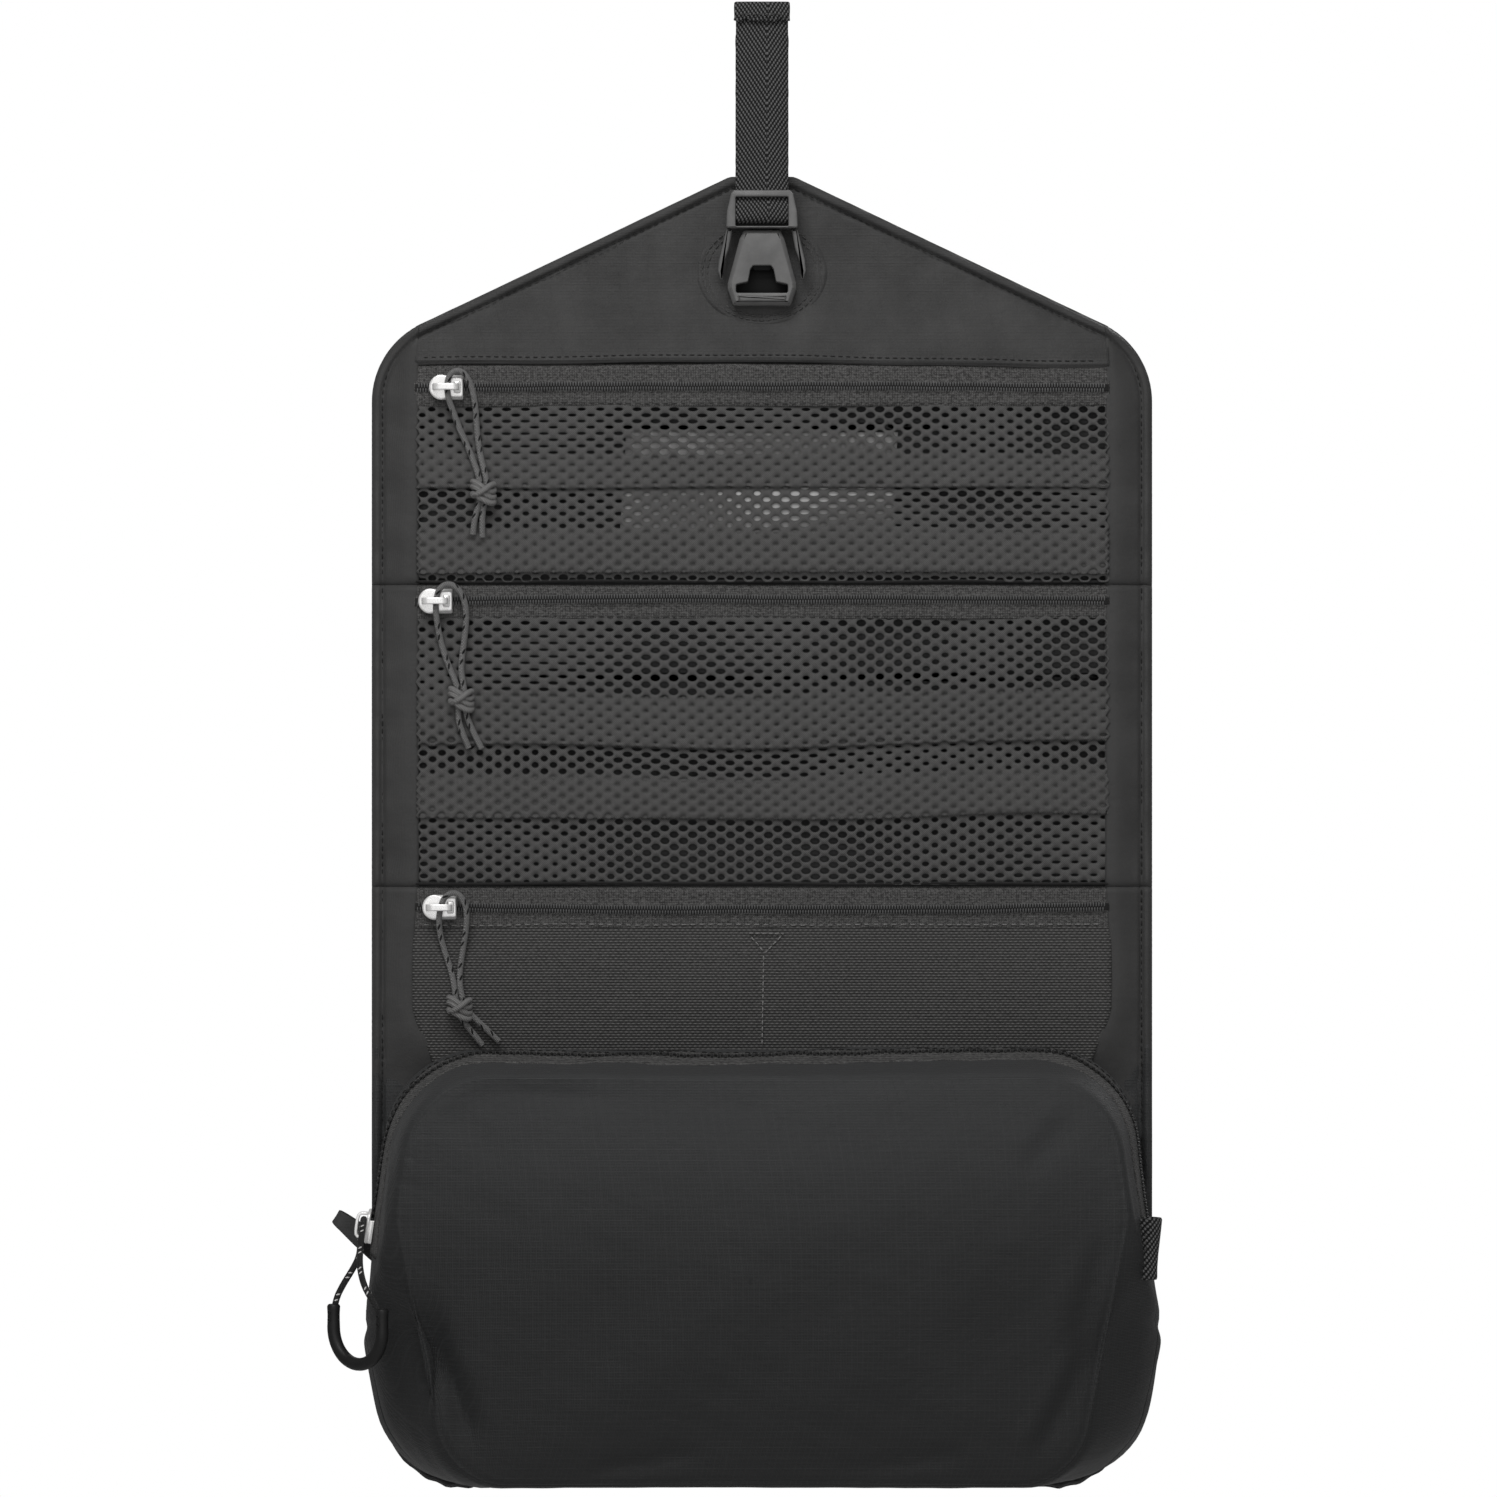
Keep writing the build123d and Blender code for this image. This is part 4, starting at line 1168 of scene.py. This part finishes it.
def zip_path(y, proud):
    """The main zipper's way round the pouch at a depth, from its left end over the top to its right."""
    flat, _ = swollen_ring(y, proud)
    x, off = flat[:, 0], np.abs(flat[:, 1] - ZIP_END_Z)
    start, end = int(np.argmin(off + 500 * (x > 0))), int(np.argmin(off + 500 * (x < 0)))
    return flat[np.arange(start, end + 1 + (len(flat) if end < start else 0)) % len(flat)]


def way_normals(flat):
    """Outward directions along the zipper's way."""
    slope = np.gradient(flat, axis=0)
    return at_depth(unit(np.stack([-slope[:, 1], slope[:, 0]], -1)), 0)


TAPE_RISE = [0.5, 0.75, 0.8, 0.75, 0.5] + [0.45] * 6 + [0.25]


def add_main_tape(word, near, far, sign, body):
    """Half of the main zipper's tape, from its middle edge to its sewn edge."""
    rows, outs = [], []
    for y, proud in zip(np.linspace(near, far, 12), TAPE_RISE):
        flat, _ = resample(zip_path(y, proud), 1)
        flat = along_line(flat, np.linspace(0, 1, len(flat)), np.linspace(0, 1, 300))
        rows.append(at_depth(flat, y))
        outs.append(way_normals(flat))
    sewn = rows[-1]
    rows, outs = np.array(rows[::-sign]), np.array(outs[::-sign])
    build = Build()
    build.add(*shell(rows, rows - outs * 0.45, grid_quads(*rows.shape[:2])))
    stitch_rows_out(build, sewn + outs[0] * 0.1 + [0, -sign * 1.6, 0], outs[0])
    nodes = ["main_zip_tape_" + word] + (["main_zip_tape_end"] if word == "front" else [])
    build.fit("main_zipper_tape_" + word, body, nodes, "zip_tape", "dark_thread")


def add_main_teeth(word, sign, body):
    """Every second tooth of the main zipper."""
    flat, _ = resample(zip_path(ZIP_PLANE_Y, 0.9), 1.25)
    line, outs = at_depth(flat, ZIP_PLANE_Y), way_normals(flat)
    build = Build()
    for k in range(4 if sign > 0 else 3, len(flat) - 3, 2):
        bow = ((2.3, -0.3), (1.7, 0.25), (0.7, 0.35), (-0.25, 0.05))
        path = [line[k] + outs[k] * lift + [0, sign * y, 0] for y, lift in bow]
        build.add(*tube(path, [0.35, 0.6, 0.62, 0.4], sides=6))
    build.fit("main_zipper_coil_" + word, body, "main_zip_coil_" + word, "main_coil", slot="zip_coil")


def add_main_zipper():
    for word, near, far, sign, body in (
        ("back", -28.87, -17.4, 1, "pouch"),
        ("front", -28.93, -40.4, -1, POUCH_HINGE),
    ):
        add_main_tape(word, near, far, sign, body)
        add_main_teeth(word, sign, body)


def stitch_rows_out(build, path, outs, run=12):
    """Stitches round the gusset, cut in short runs so that each faces outwards."""
    for start in range(0, len(path) - run, run):
        stitch_row(build, path[start : start + run + 1], outs[start + run // 2])


def add_tab(word, side, y, reach, forward, rise, level, half_across, tilt, taper, material):
    """A loop at one end of the main zipper."""
    half = 2.5 + WEB_T / 2
    tip = reach - half - WEB_T / 2
    turn = [(tip + half * math.sin(a), half * math.cos(a)) for a in np.linspace(0, math.pi, 13)]
    flat = [(137.5, half), *turn, (137.5, -half)]
    path = [(side * a, y + b - forward * (a - 136.0), level + rise * (a - 141)) for a, b in flat]
    build = Build()
    build.add(*ribbon(path, np.outer(taper, tilt), half_across, WEB_T))
    if word == "right":
        seam = at(139.0, y - half - 0.85 - forward * 3.0, np.linspace(-451.0, -434.5, 30))
        stitch_row(build, seam, pitch=2.4, length=1.8)
    build.fit("webbing_tab_" + word, "pouch", "side_tab_" + word, material, "thread", slot="webbing")


def add_tabs():
    taper = (1.0, 0.8, 0.5, 0.8, 1.0)
    add_tab("left", -1, -15.5, 157.5, 0.0, 0.8, -446.0, 4.9, (0.5, 0.3, 0.81), taper, "back_cloth")
    add_tab("right", 1, -41.0, 144.0, 0.7, 0.1, -442.5, 11.2, (0.12, 0, 0.99), (1.0, 1.0), "webbing")


# ---- hang strap, buckle and patch ---------------------------------------------------------------
def strap(places, extra_half=0.0, extra_thick=-0.1):
    """Webbing that hangs in the middle, along (y, z) places."""
    path = smooth_path([(0, y, z) for y, z in places])
    return ribbon(path, ACROSS, WEB_W / 2 + extra_half, WEB_T + extra_thick)


def add_strap():
    """Webbing: behind the flap and over the top, down to the buckle's bar, and back up to its folded end."""
    bend = [(3.7 * math.cos(a), 3.7 * math.sin(a)) for a in np.linspace(0, math.pi, 17)]
    box = [(-7.5, -70), (7.5, -70), (-7.5, -84), (7.5, -84), (-7.5, -70), (-7.5, -84), (7.5, -84), (7.5, -70)]
    loop = Build()
    loop.add(*strap([(3.7, -86.0), (3.75, -60.0), (3.6, -30.0), *bend, (-3.7, -14.0)]))
    stitch_row(loop, at_depth(np.array(box), 4.45), BEHIND, pitch=2.4, length=1.8)
    loop.fit("strap_loop_webbing", "flap", "strap_loop", "webbing", "thread")

    load = Build()
    fall = [(-3.7, -13.9), (-3.75, -30.0), (-3.7, -50.0), (-3.8, -60.0), (-3.9, -64.0), (-4.6, -66.0)]
    load.add(*strap(fall))
    body = ("flap", "buckle_male", -14.0, -58.0)
    load.fit("strap_load_webbing", body, "strap_tail", "webbing", "thread")

    turn = [(-4.5, -65.5), (-6.0, -66.3), (-7.6, -65.6), (-8.15, -64.0), (-8.1, -61.0), (-7.6, -59.6)]
    rise = [(-7.0, -58.6), (-5.6, -56.0), (-5.25, -50.0), (-5.3, -30.0), (-5.5, -12.0), (-5.35, 2.0)]
    stop = [(-5.4, 13.9), (-5.9, 15.4), (-6.6, 14.8), (-6.95, 12.0), (-7.0, 9.2)]
    tail = Build()
    tail.add(*strap([*turn, *rise, (-5.3, 13.6)], -0.1))
    tail.add(*strap(stop, 0.5, 0.3))
    stitch_row(tail, at(np.linspace(-8.6, 8.6, 20), -7.95, 10.6), pitch=2.3, length=1.7)
    fray = 0.35 * waves(np.linspace(0, 20, 40), 0, 8, 2)
    tail.add(*tube(at(np.linspace(-10.3, 10.3, 40), -7.2 + 0.4 * fray, 9.0 + fray), 0.75, sides=8))
    tail.fit("strap_tail_webbing", "buckle_male", "strap_tail", "webbing", "thread")


# ring of the patch: (share of its size, height over the flap)
PATCH_RINGS = [
    (1.0, -0.7), (0.97, -0.25), (0.94, 0.2), (0.91, 0.5), (0.875, 0.2), (0.84, 0.55),
    (0.8, 0.2), (0.76, 0.5), (0.6, 0.5), (0.3, 0.4), (0.03, 0.4),
]


def oval(share, angle):
    """Places x, z on the patch's outline, scaled by a share."""
    return 25.3 * share * np.sin(angle), -84.0 + 20.7 * share * np.cos(angle)


def add_patch():
    """Oval reinforcement with two rows of stitches."""
    t, rows = circle(96), []
    for share, rise in PATCH_RINGS:
        x, z = oval(share, t)
        gather = 0.4 * waves(25.0 * t, 30.0 * share, 58, 7) * (0.5 < share < 0.95)
        rows.append(at(x, flap_y(x, z) - rise - gather, z))
    rows = np.array(rows)
    build = Build()
    build.add(*shell(rows, rows * [1, 0, 1] + [0, 1.3, 0], grid_quads(*rows.shape[:2], closed=True)))
    for share in (0.875, 0.8):
        x, z = oval(share, np.linspace(0, 2 * math.pi, 200))
        stitch_row(build, at(x, flap_y(x, z) - 0.35, z), pitch=2.6, length=1.9)
    build.fit("buckle_patch_cloth", "flap", "buckle_patch", "flap_ripstop", "thread")


def add_buckle_tab():
    """The webbing that holds the buckle's bar."""
    places = [(0.5, -83.0), (-0.1, -87.0), (-0.3, -91.0), (-0.2, -94.0), (0.4, -97.0)]
    build = Build()
    build.add(*ribbon(smooth_path([(0, y, z) for y, z in places]), ACROSS, 9.2, 1.2))
    build.fit("buckle_tab_webbing", "flap", "buckle_tab", "webbing")


def soft_corners(points, radius, arc=4):
    """A closed outline with all its corners rounded alike."""
    return rounded(points, [radius] * len(points), arc, closed=True)


def mirrored(half, radius):
    """A closed outline, clockwise, from the points of its right half, top to bottom."""
    return soft_corners(half + [(-x, z) for x, z in half[::-1]], radius)


def framed(outer, inner, levels):
    """A closed plate with one window. levels are (y, outer inset, window's growth) from back to front."""
    walls = [inset_ring(outer, y, inset) for y, inset, _ in levels]
    panes = [inset_ring(inner, y, -growth) for y, _, growth in levels]
    n, m, deep = len(outer), len(inner), len(levels)
    points = np.concatenate(walls + panes)
    faces = grid_quads(deep, n, closed=True).tolist()
    faces += (grid_quads(deep, m, closed=True)[:, ::-1] + deep * n).tolist()
    for row, flip in ((0, False), (deep - 1, True)):
        loops = [[Vector((x, z, 0.0)) for x, _, z in rings[row]] for rings in (walls, panes)]
        ids = [*range(row * n, row * n + n), *range(deep * n + row * m, deep * n + row * m + m)]
        for triangle in tessellate_polygon(loops):
            corners = [ids[i] for i in triangle]
            a, b, c = points[corners]
            facing = np.cross(b - a, c - a)[1] < 0
            faces.append(corners if facing == flip else corners[::-1])
    return points, faces


def add_buckle_female():
    """Bevelled plate with its keyhole and slot in one window, a near-black floor behind them as painted
    shade, and the bright bottom bar.
    """
    outer = mirrored([(6.7, -69.1), (8.3, -72.3), (12.7, -88.8), (12.7, -90.8), (10.6, -96.9)], 1.0)
    window = mirrored([(3.3, -82.2), (4.3, -83.6), (5.2, -88.2), (9.6, -89.2), (9.6, -92.3)], 0.7)
    edge = [(0.9, 0.3, 0.0), (0.4, 0.0, 0.0), (-5.6, 0.0, 0.0)]
    edge += [(-6.2, 0.25, 0.0), (-7.25, 1.25, 0.1), (-7.4, 1.6, 0.4)]
    bar = soft_corners([(-9.3, -93.2), (9.3, -93.2), (8.7, -95.6), (-8.7, -95.6)], 0.5)
    # The floor is a near-black sheet behind the window, standing in for the shade inside the buckle: painted
    # shade.
    floor = soft_corners([(-10.3, -81.0), (10.3, -81.0), (10.3, -93.0), (-10.3, -93.0)], 1.0)
    build = Build()
    build.add(*framed(outer, window, edge))
    build.add(*prism(bar, [(-7.0, 0.0), (-7.45, 0.05), (-7.75, 0.35), (-7.85, 0.8)]))
    build.add(*prism(floor, [(0.7, 0.1), (0.6, 0.0), (-1.2, 0.0), (-1.3, 0.1)]), 1)
    build.fit("buckle_female_plate", "flap", "buckle_female", "buckle_plastic", "buckle_painted_shade")


def add_buckle_male():
    """Frame with its window for the webbing, and behind it the bars and the tongue in near-black plastic, as
    painted shade.
    """
    outer = mirrored([(10.4, -54.5), (11.5, -55.8), (13.0, -62.5), (13.3, -68.4)], 0.8)
    window = mirrored([(9.75, -56.9), (9.8, -67.8)], 0.5)
    edge = [(-2.1, 0.4, 0.3), (-2.5, 0.0, 0.0), (-8.7, 0.0, 0.0), (-9.2, 0.2, 0.12), (-9.4, 0.5, 0.35)]
    build = Build()
    build.add(*framed(outer, window, edge))
    # Bars and tongue take the near-black material: painted shade inside the buckle.
    for low, high, back, front in ((-64.3, -60.7, -5.5, -7.0), (-68.3, -66.7, -2.7, -6.4)):
        bar = soft_corners([(-10.2, high), (10.2, high), (10.2, low), (-10.2, low)], 0.5)
        build.add(*prism(bar, [(back, 0.2), (back - 0.2, 0.0), (front + 0.3, 0.0), (front, 0.3)]), 1)
    tongue = [(-3.9, -67.5), (3.9, -67.5), (3.9, -82.6), (2.8, -83.9), (-2.8, -83.9), (-3.9, -82.6)]
    build.add(*prism(soft_corners(tongue, 0.5), [(-3.3, 0.2), (-3.5, 0.0), (-5.1, 0.0), (-5.3, 0.2)]), 1)
    build.fit("buckle_male_frame", "buckle_male", "buckle_male", "buckle_plastic", "buckle_painted_shade")


# corner of a squeeze arm: (x, z, radius)
ARM = [
    (10.9, -68.8, 0.3), (13.2, -68.8, 0.4), (16.0, -80.5, 2.0), (16.3, -84.3, 1.2), (15.2, -87.7, 0.4),
    (14.4, -86.9, 0.3), (14.7, -84.4, 0.8), (14.2, -81.5, 2.0), (12.3, -76.0, 2.0),
]


def add_squeeze_arms():
    """Two springy arms, thick at the frame and hooked at their feet."""
    for side, word in ((-1, "left"), (1, "right")):
        corners = ARM[::side]
        arm = rounded([(side * x, z) for x, z, _ in corners], [r for _, _, r in corners], arc=4, closed=True)
        build = Build()
        build.add(*prism(arm, [(-2.8, 0.3), (-3.1, 0.0), (-6.2, 0.0), (-6.8, 0.3), (-7.0, 0.7)]))
        build.fit("squeeze_arm_plastic_" + word, "arm_" + word, "squeeze_arm_" + word, "buckle_plastic")


# ---- sliders ------------------------------------------------------------------------------------
def slider_parts(shift):
    """A slider at the origin, coil below and nose to -x: its plate, lips, bail and the bail's foot."""
    nose = [(-1.6 - 4.7 * math.sin(a), 4.7 * math.cos(a)) for a in np.linspace(math.pi, 0, 23)]
    tail = rounded([(1.4, 3.9), (6.3, 3.7), (6.3, -3.7), (1.4, -3.9)], [0, 0.9, 0.9, 0], arc=6)
    y = -2.1 + shift
    edge = [(0, 0.45), (0.15, 0.1), (0.4, 0.0), (0.75, 0.0), (1.0, 0.16), (1.15, 0.4), (1.2, 0.75)]
    parts = [prism(np.concatenate([nose, tail]), [(y - out, inset) for out, inset in edge])]
    for side in (-1, 1):
        lip = [(-2.4, side * 2.75), (6.1, side * 2.75), (6.1, side * 4.35), (-2.4, side * 4.35)][::side]
        parts.append(prism(soft_corners(lip, 0.5, 5), [(-0.35, 0.25), (-0.5, 0.0), (y + 0.2, 0.0), (y, 0.1)]))
    arch = [(-4.4, 1.0), (-4.4, 3.4), (-3.9, 4.6), (-2.2, 4.9), (2.6, 4.9), (4.3, 4.5), (4.4, 3.2)]
    bail = smooth_path([(x, y - out, 0) for x, out in [*arch, (4.4, 1.0)]], 0.35)
    parts.append(ribbon(bail, (0, 0, 1), 1.25, 1.1))
    foot = soft_corners([(2.9, 2.3), (5.5, 2.3), (5.5, -2.3), (2.9, -2.3)], 0.7, 5)
    parts.append(prism(foot, [(y - 1.0, 0.0), (y - 1.9, 0.05), (y - 2.2, 0.35)]))
    return parts


def add_slider(name, place, body, node, shift=0.0, axes=((1, 0, 0), (0, 1, 0), (0, 0, 1))):
    """A slider's piece. axes are the directions of its own three axes."""
    build = Build()
    for points, faces in slider_parts(shift):
        build.add(np.asarray(points) @ np.array(axes) + place, faces)
    build.fit(name, body, node, "slider_metal")


def add_sliders():
    for name, (_, z, _, x, _) in ZIPS.items():
        add_slider(name + "_slider_metal", (x, Y_POCKET, z), name + "_slider", name + "_zip_slider")
    lean = math.radians(SIDE_LEAN)
    nose = np.array([math.sin(lean), 0, math.cos(lean)])
    outer = np.array([-math.cos(lean), 0, math.sin(lean)])
    axes = [-nose, -outer, np.cross(nose, outer)]
    place = (-SIDE_X, ZIP_PLANE_Y, MAIN_SLIDER_Z)
    add_slider("main_slider_metal", place, "main_slider", "main_slider", 0.3, axes)


# ---- cord pulls ---------------------------------------------------------------------------------
# Routes as in the part: (across, towards the panel, up) from the middle of each bail's eye.
PULL_ROUTES = {
    "top": [
        (10.0, 2.4, -54.5), (10.5, 1.6, -49.0), (12.2, 0.9, -43.8), (13.0, 0.7, -38.6),
        (12.2, 1.4, -33.2), (10.3, 2.2, -27.6), (7.7, 2.5, -21.4), (5.0, 2.2, -15.4),
        (2.8, 1.3, -9.4), (0.9, 0.2, -4.2), (0.4, 0.0, 0.6), (1.4, -0.1, 4.8),
        (4.6, -0.3, 6.4), (7.8, -0.4, 4.2), (9.9, 0.1, -0.8), (11.0, 1.1, -7.2),
        (11.4, 2.0, -14.4), (12.0, 2.3, -21.6), (13.4, 1.9, -28.2), (15.0, 1.1, -34.0),
        (15.2, 0.7, -39.4), (13.9, 1.0, -44.6), (13.3, 1.8, -50.2), (13.5, 2.4, -55.6),
    ],
    "mid": [
        (12.4, 2.4, -54.4), (10.4, 1.7, -49.4), (8.7, 1.0, -44.6), (8.6, 0.7, -39.6),
        (9.0, 0.8, -34.4), (7.4, 1.5, -29.4), (4.9, 2.2, -23.8), (2.7, 2.2, -17.6),
        (1.2, 1.4, -10.8), (0.3, 0.3, -4.6), (0.4, 0.0, 0.6), (1.6, -0.1, 4.8),
        (5.0, -0.3, 6.6), (8.6, -0.4, 4.8), (11.2, 0.0, 0.0), (11.7, 1.0, -6.6),
        (10.9, 1.9, -13.8), (9.9, 2.2, -20.6), (9.6, 1.6, -26.8), (10.8, 0.8, -32.2),
        (11.2, 0.6, -37.4), (11.6, 1.0, -42.4), (14.0, 1.8, -48.4), (17.2, 2.4, -54.6),
    ],
    "low": [
        (16.0, 2.4, -51.0), (13.0, 1.8, -47.2), (9.8, 1.2, -43.2), (7.0, 0.8, -39.0),
        (6.2, 0.8, -34.2), (5.6, 1.4, -28.6), (4.1, 2.1, -22.4), (2.0, 2.1, -16.2),
        (0.3, 1.3, -10.0), (-0.1, 0.2, -4.2), (0.6, 0.0, 0.4), (2.2, -0.1, 4.2),
        (5.6, -0.3, 5.8), (8.8, -0.4, 3.8), (10.4, 0.1, -1.4), (10.1, 1.1, -7.8),
        (9.0, 1.9, -14.6), (7.9, 2.1, -21.2), (7.5, 1.5, -27.4), (8.4, 0.8, -32.8),
        (9.8, 0.6, -37.4), (13.2, 1.2, -41.0), (17.4, 1.9, -45.0), (22.0, 2.4, -49.6),
    ],
}
KNOTS = {"top": (13.9, 0.7, -39.0), "mid": (9.7, 0.7, -36.4), "low": (7.6, 0.7, -37.2)}
MAIN_CORD_ROUTE = [
    (-156.0, -40.0, -466.8), (-155.4, -39.6, -461.8), (-152.8, -37.4, -456.4), (-149.4, -33.8, -451.0),
    (-147.4, -29.2, -446.8), (-147.5, -24.4, -442.8), (-147.1, -22.4, -438.4), (-145.9, -24.6, -434.6),
    (-145.8, -28.4, -433.0), (-145.9, -32.4, -433.8), (-145.9, -35.8, -437.2), (-146.4, -39.4, -442.8),
    (-146.2, -45.2, -449.2), (-144.2, -51.0, -455.6), (-140.2, -55.6, -461.4), (-137.2, -57.2, -466.8),
]


def from_eye(name, place):
    _, z, _, x, _ = ZIPS[name]
    return (x + place[0], EYE_Y + place[1], z + place[2])


def cord_curve(name, route, diameter, slot):
    """A round cord on one smooth NURBS line."""
    data = bpy.data.curves.new(name, "CURVE")
    data.dimensions = "3D"
    data.bevel_depth = diameter / 2 * MM
    data.bevel_resolution = 4
    data.use_fill_caps = True
    data.resolution_u = 10
    spline = data.splines.new("NURBS")
    spline.points.add(len(route) - 1)
    for point, place in zip(spline.points, route):
        point.co = (*(c * MM for c in place), 1.0)
    spline.order_u = 3
    spline.use_endpoint_u = True
    data.materials.append(MATERIALS[slot])
    obj = show(name, data)
    return obj


def spline_points(curve):
    """Points of a curve's own line, in mm, as Blender draws it without a bevel."""
    bare = show("bare_line", curve.data.copy())
    bare.data.bevel_depth = 0
    bare.data.resolution_u = 24
    bpy.context.view_layer.update()
    made = bpy.data.meshes.new_from_object(bare.evaluated_get(bpy.context.evaluated_depsgraph_get()))
    points = np.array([v.co for v in made.vertices], float) / MM
    data = bare.data
    bpy.data.objects.remove(bare)
    bpy.data.curves.remove(data)
    bpy.data.meshes.remove(made)
    return points


def fleck(build, line, s, spot, radius, length, angle):
    """A woven mark on a cord: a thin slanted sliver that hugs its round side."""
    before, after = along_line(line, s, np.array([spot - 0.5, spot + 0.5]))
    along = unit(after - before)
    side = unit(np.cross(along, FRONT))
    out = np.cross(side, along)
    u, v = np.linspace(-0.5, 0.5, 5)[:, None], np.linspace(-0.5, 0.5, 4)
    turn = (angle + v * 0.75 * (1 - 0.75 * np.abs(2 * u) ** 3) + u * 0.9)[..., None]
    centre = along_line(line, s, spot + u * length)
    rise = radius * (np.cos(turn) * out + np.sin(turn) * side)
    build.add(*shell(centre + rise, centre + rise * 0.9, grid_quads(5, 4)))


# turn of the overhand knot: (lean, phase, lift)
KNOT_TURNS = [(-1.7, 0.35, 2.3), (-1.9, 0.2, 0.2), (-1.6, 0.5, -2.0)]
KNOT_CROSS = [(-3.6, -0.8, -1.2), (-2.2, -3.3, -0.9), (0.4, -4.0, 0.6), (2.6, -3.2, 2.4), (3.9, -0.6, 3.0)]


def add_knot(name):
    """The turns of a pull's overhand knot round both legs of its cord, and the strand across them."""
    centre = np.array(from_eye(name, KNOTS[name]))
    build, t = Build(), circle(40)
    for lean, phase, lift in KNOT_TURNS:
        z = lift + lean * np.cos(t + phase) + 0.5 * np.sin(2 * t)
        build.add(*tube(at(3.9 * np.cos(t), 2.5 * np.sin(t), z) + centre, CORD_D / 2, closed=True))
    build.add(*tube(smooth_path(centre + KNOT_CROSS, 0.5), CORD_D / 2))
    pull = name + "_pull"
    return build.fit(pull + "_knot_turns", pull, pull + "_knot", "cord_mesh", slot="grey_cord")


def add_pull(name):
    """A pocket pull: its cord, the knot's turns and the cord's black flecks."""
    route = [from_eye(name, place) for place in PULL_ROUTES[name]]
    cord = cord_curve(name + "_pull_line", route, CORD_D, "grey_cord")
    line, s = resample(spline_points(cord), 0.3)
    turns = add_knot(name)
    marks = Build()
    draw = np.random.default_rng(len(name) + ord(name[0]))
    for k, spot in enumerate(np.arange(2.5, s[-1] - 2, 4.1)):
        spot = spot + draw.uniform(-0.5, 0.5)
        angle = draw.uniform(-0.9, 0.9) + (math.pi if k % 3 == 0 else 0)
        fleck(marks, line, s, spot, CORD_D / 2 + 0.05, 2.3, angle)
    flecks = marks.piece(name + "_pull_flecks", "fleck_black", slot="grey_cord")
    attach(flecks, name + "_pull")
    settle(cord, name + "_pull", name + "_pull_cord")


def add_main_pull():
    """The main slider's black cord with pairs of white flecks, and its U-shaped grip."""
    cord = cord_curve("main_pull_line", MAIN_CORD_ROUTE, MAIN_CORD_D, "black_cord")
    line, s = resample(spline_points(cord), 0.3)
    marks = Build()
    for spot in np.arange(5.0, s[-1] - 4, 9.2):
        for pair in (0.0, 2.1):
            for angle in (0.0, 2.1, 4.2):
                fleck(marks, line, s, spot + pair, MAIN_CORD_D / 2 + 0.04, 1.0, angle)
    flecks = marks.piece("main_pull_flecks", "fleck_white", slot="black_cord")
    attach(flecks, "main_pull")
    grip = add_grip()
    settle(cord, "main_pull", "main_pull_cord")


def add_grip():
    """U-shaped rubber grip: swollen arms, each with two raised rings."""
    left, right = np.array([-156.0, -40.0, -471.4]), np.array([-137.2, -57.2, -471.4])
    middle, half = (left + right) / 2, np.linalg.norm(left - right) / 2
    way, up = (right - left) / (2 * half), np.array([0, 0, 1.0])
    front = np.cross(way, up)
    rises, swell = [8.2, 7.954, 7.38, 6.56, 4.92, 2.46], [1.75, 2.15, 2.4, 2.35, 2.25, 2.25]
    bow = [middle - (way * math.cos(a) + up * math.sin(a)) * half for a in np.linspace(0, math.pi, 41)]
    path = [left + up * rise for rise in rises] + bow + [right + up * rise for rise in rises[::-1]]
    build = Build()
    build.add(*tube(path, swell + [2.35] * len(bow) + swell[::-1], sides=20))
    for arm in (left, right):
        for drop in (5.4, 2.6):
            spot = arm + up * drop + front * 2.3
            rim = [spot + 0.62 * (math.cos(a) * way + math.sin(a) * up) for a in circle(16)]
            build.add(*tube(rim, 0.2, sides=6, closed=True))
    return build.fit("main_pull_grip_rubber", "main_pull", "main_pull_grip", "grip_rubber")


def main():
    make_materials()
    add_camera()
    for name in ZIPS:
        add_pull(name)
    add_main_pull()
    add_world()
    add_area("key", (-0.2, -0.8, 0.72), (0.7, 0.45), 8.5)
    add_area("front", (0.0, -2.3, 0.0), (2.4, 1.8), 15.0)
    add_area("rim", (0.4, 1.4, 0.6), (1.4, 1.0), 8)
    add_floor()
    add_back_cloths()
    add_flap()
    for name in BORDERS:
        add_border(name, -1, "left")
        add_border(name, 1, "right")
    add_pouch_base()
    for name in ZIPS:
        add_zipper_tape(name)
        add_zipper_coil(name)
    for name in MESH_PROFILES:
        add_mesh_pocket(name)
        add_mesh_hem(name)
    add_knit_pocket()
    add_label()
    add_pouch()
    add_main_zipper()
    add_tabs()
    add_strap()
    add_patch()
    add_buckle_tab()
    add_sliders()
    add_buckle_female()
    add_buckle_male()
    add_squeeze_arms()
    bpy.context.scene.view_settings.view_transform = "Standard"


main()
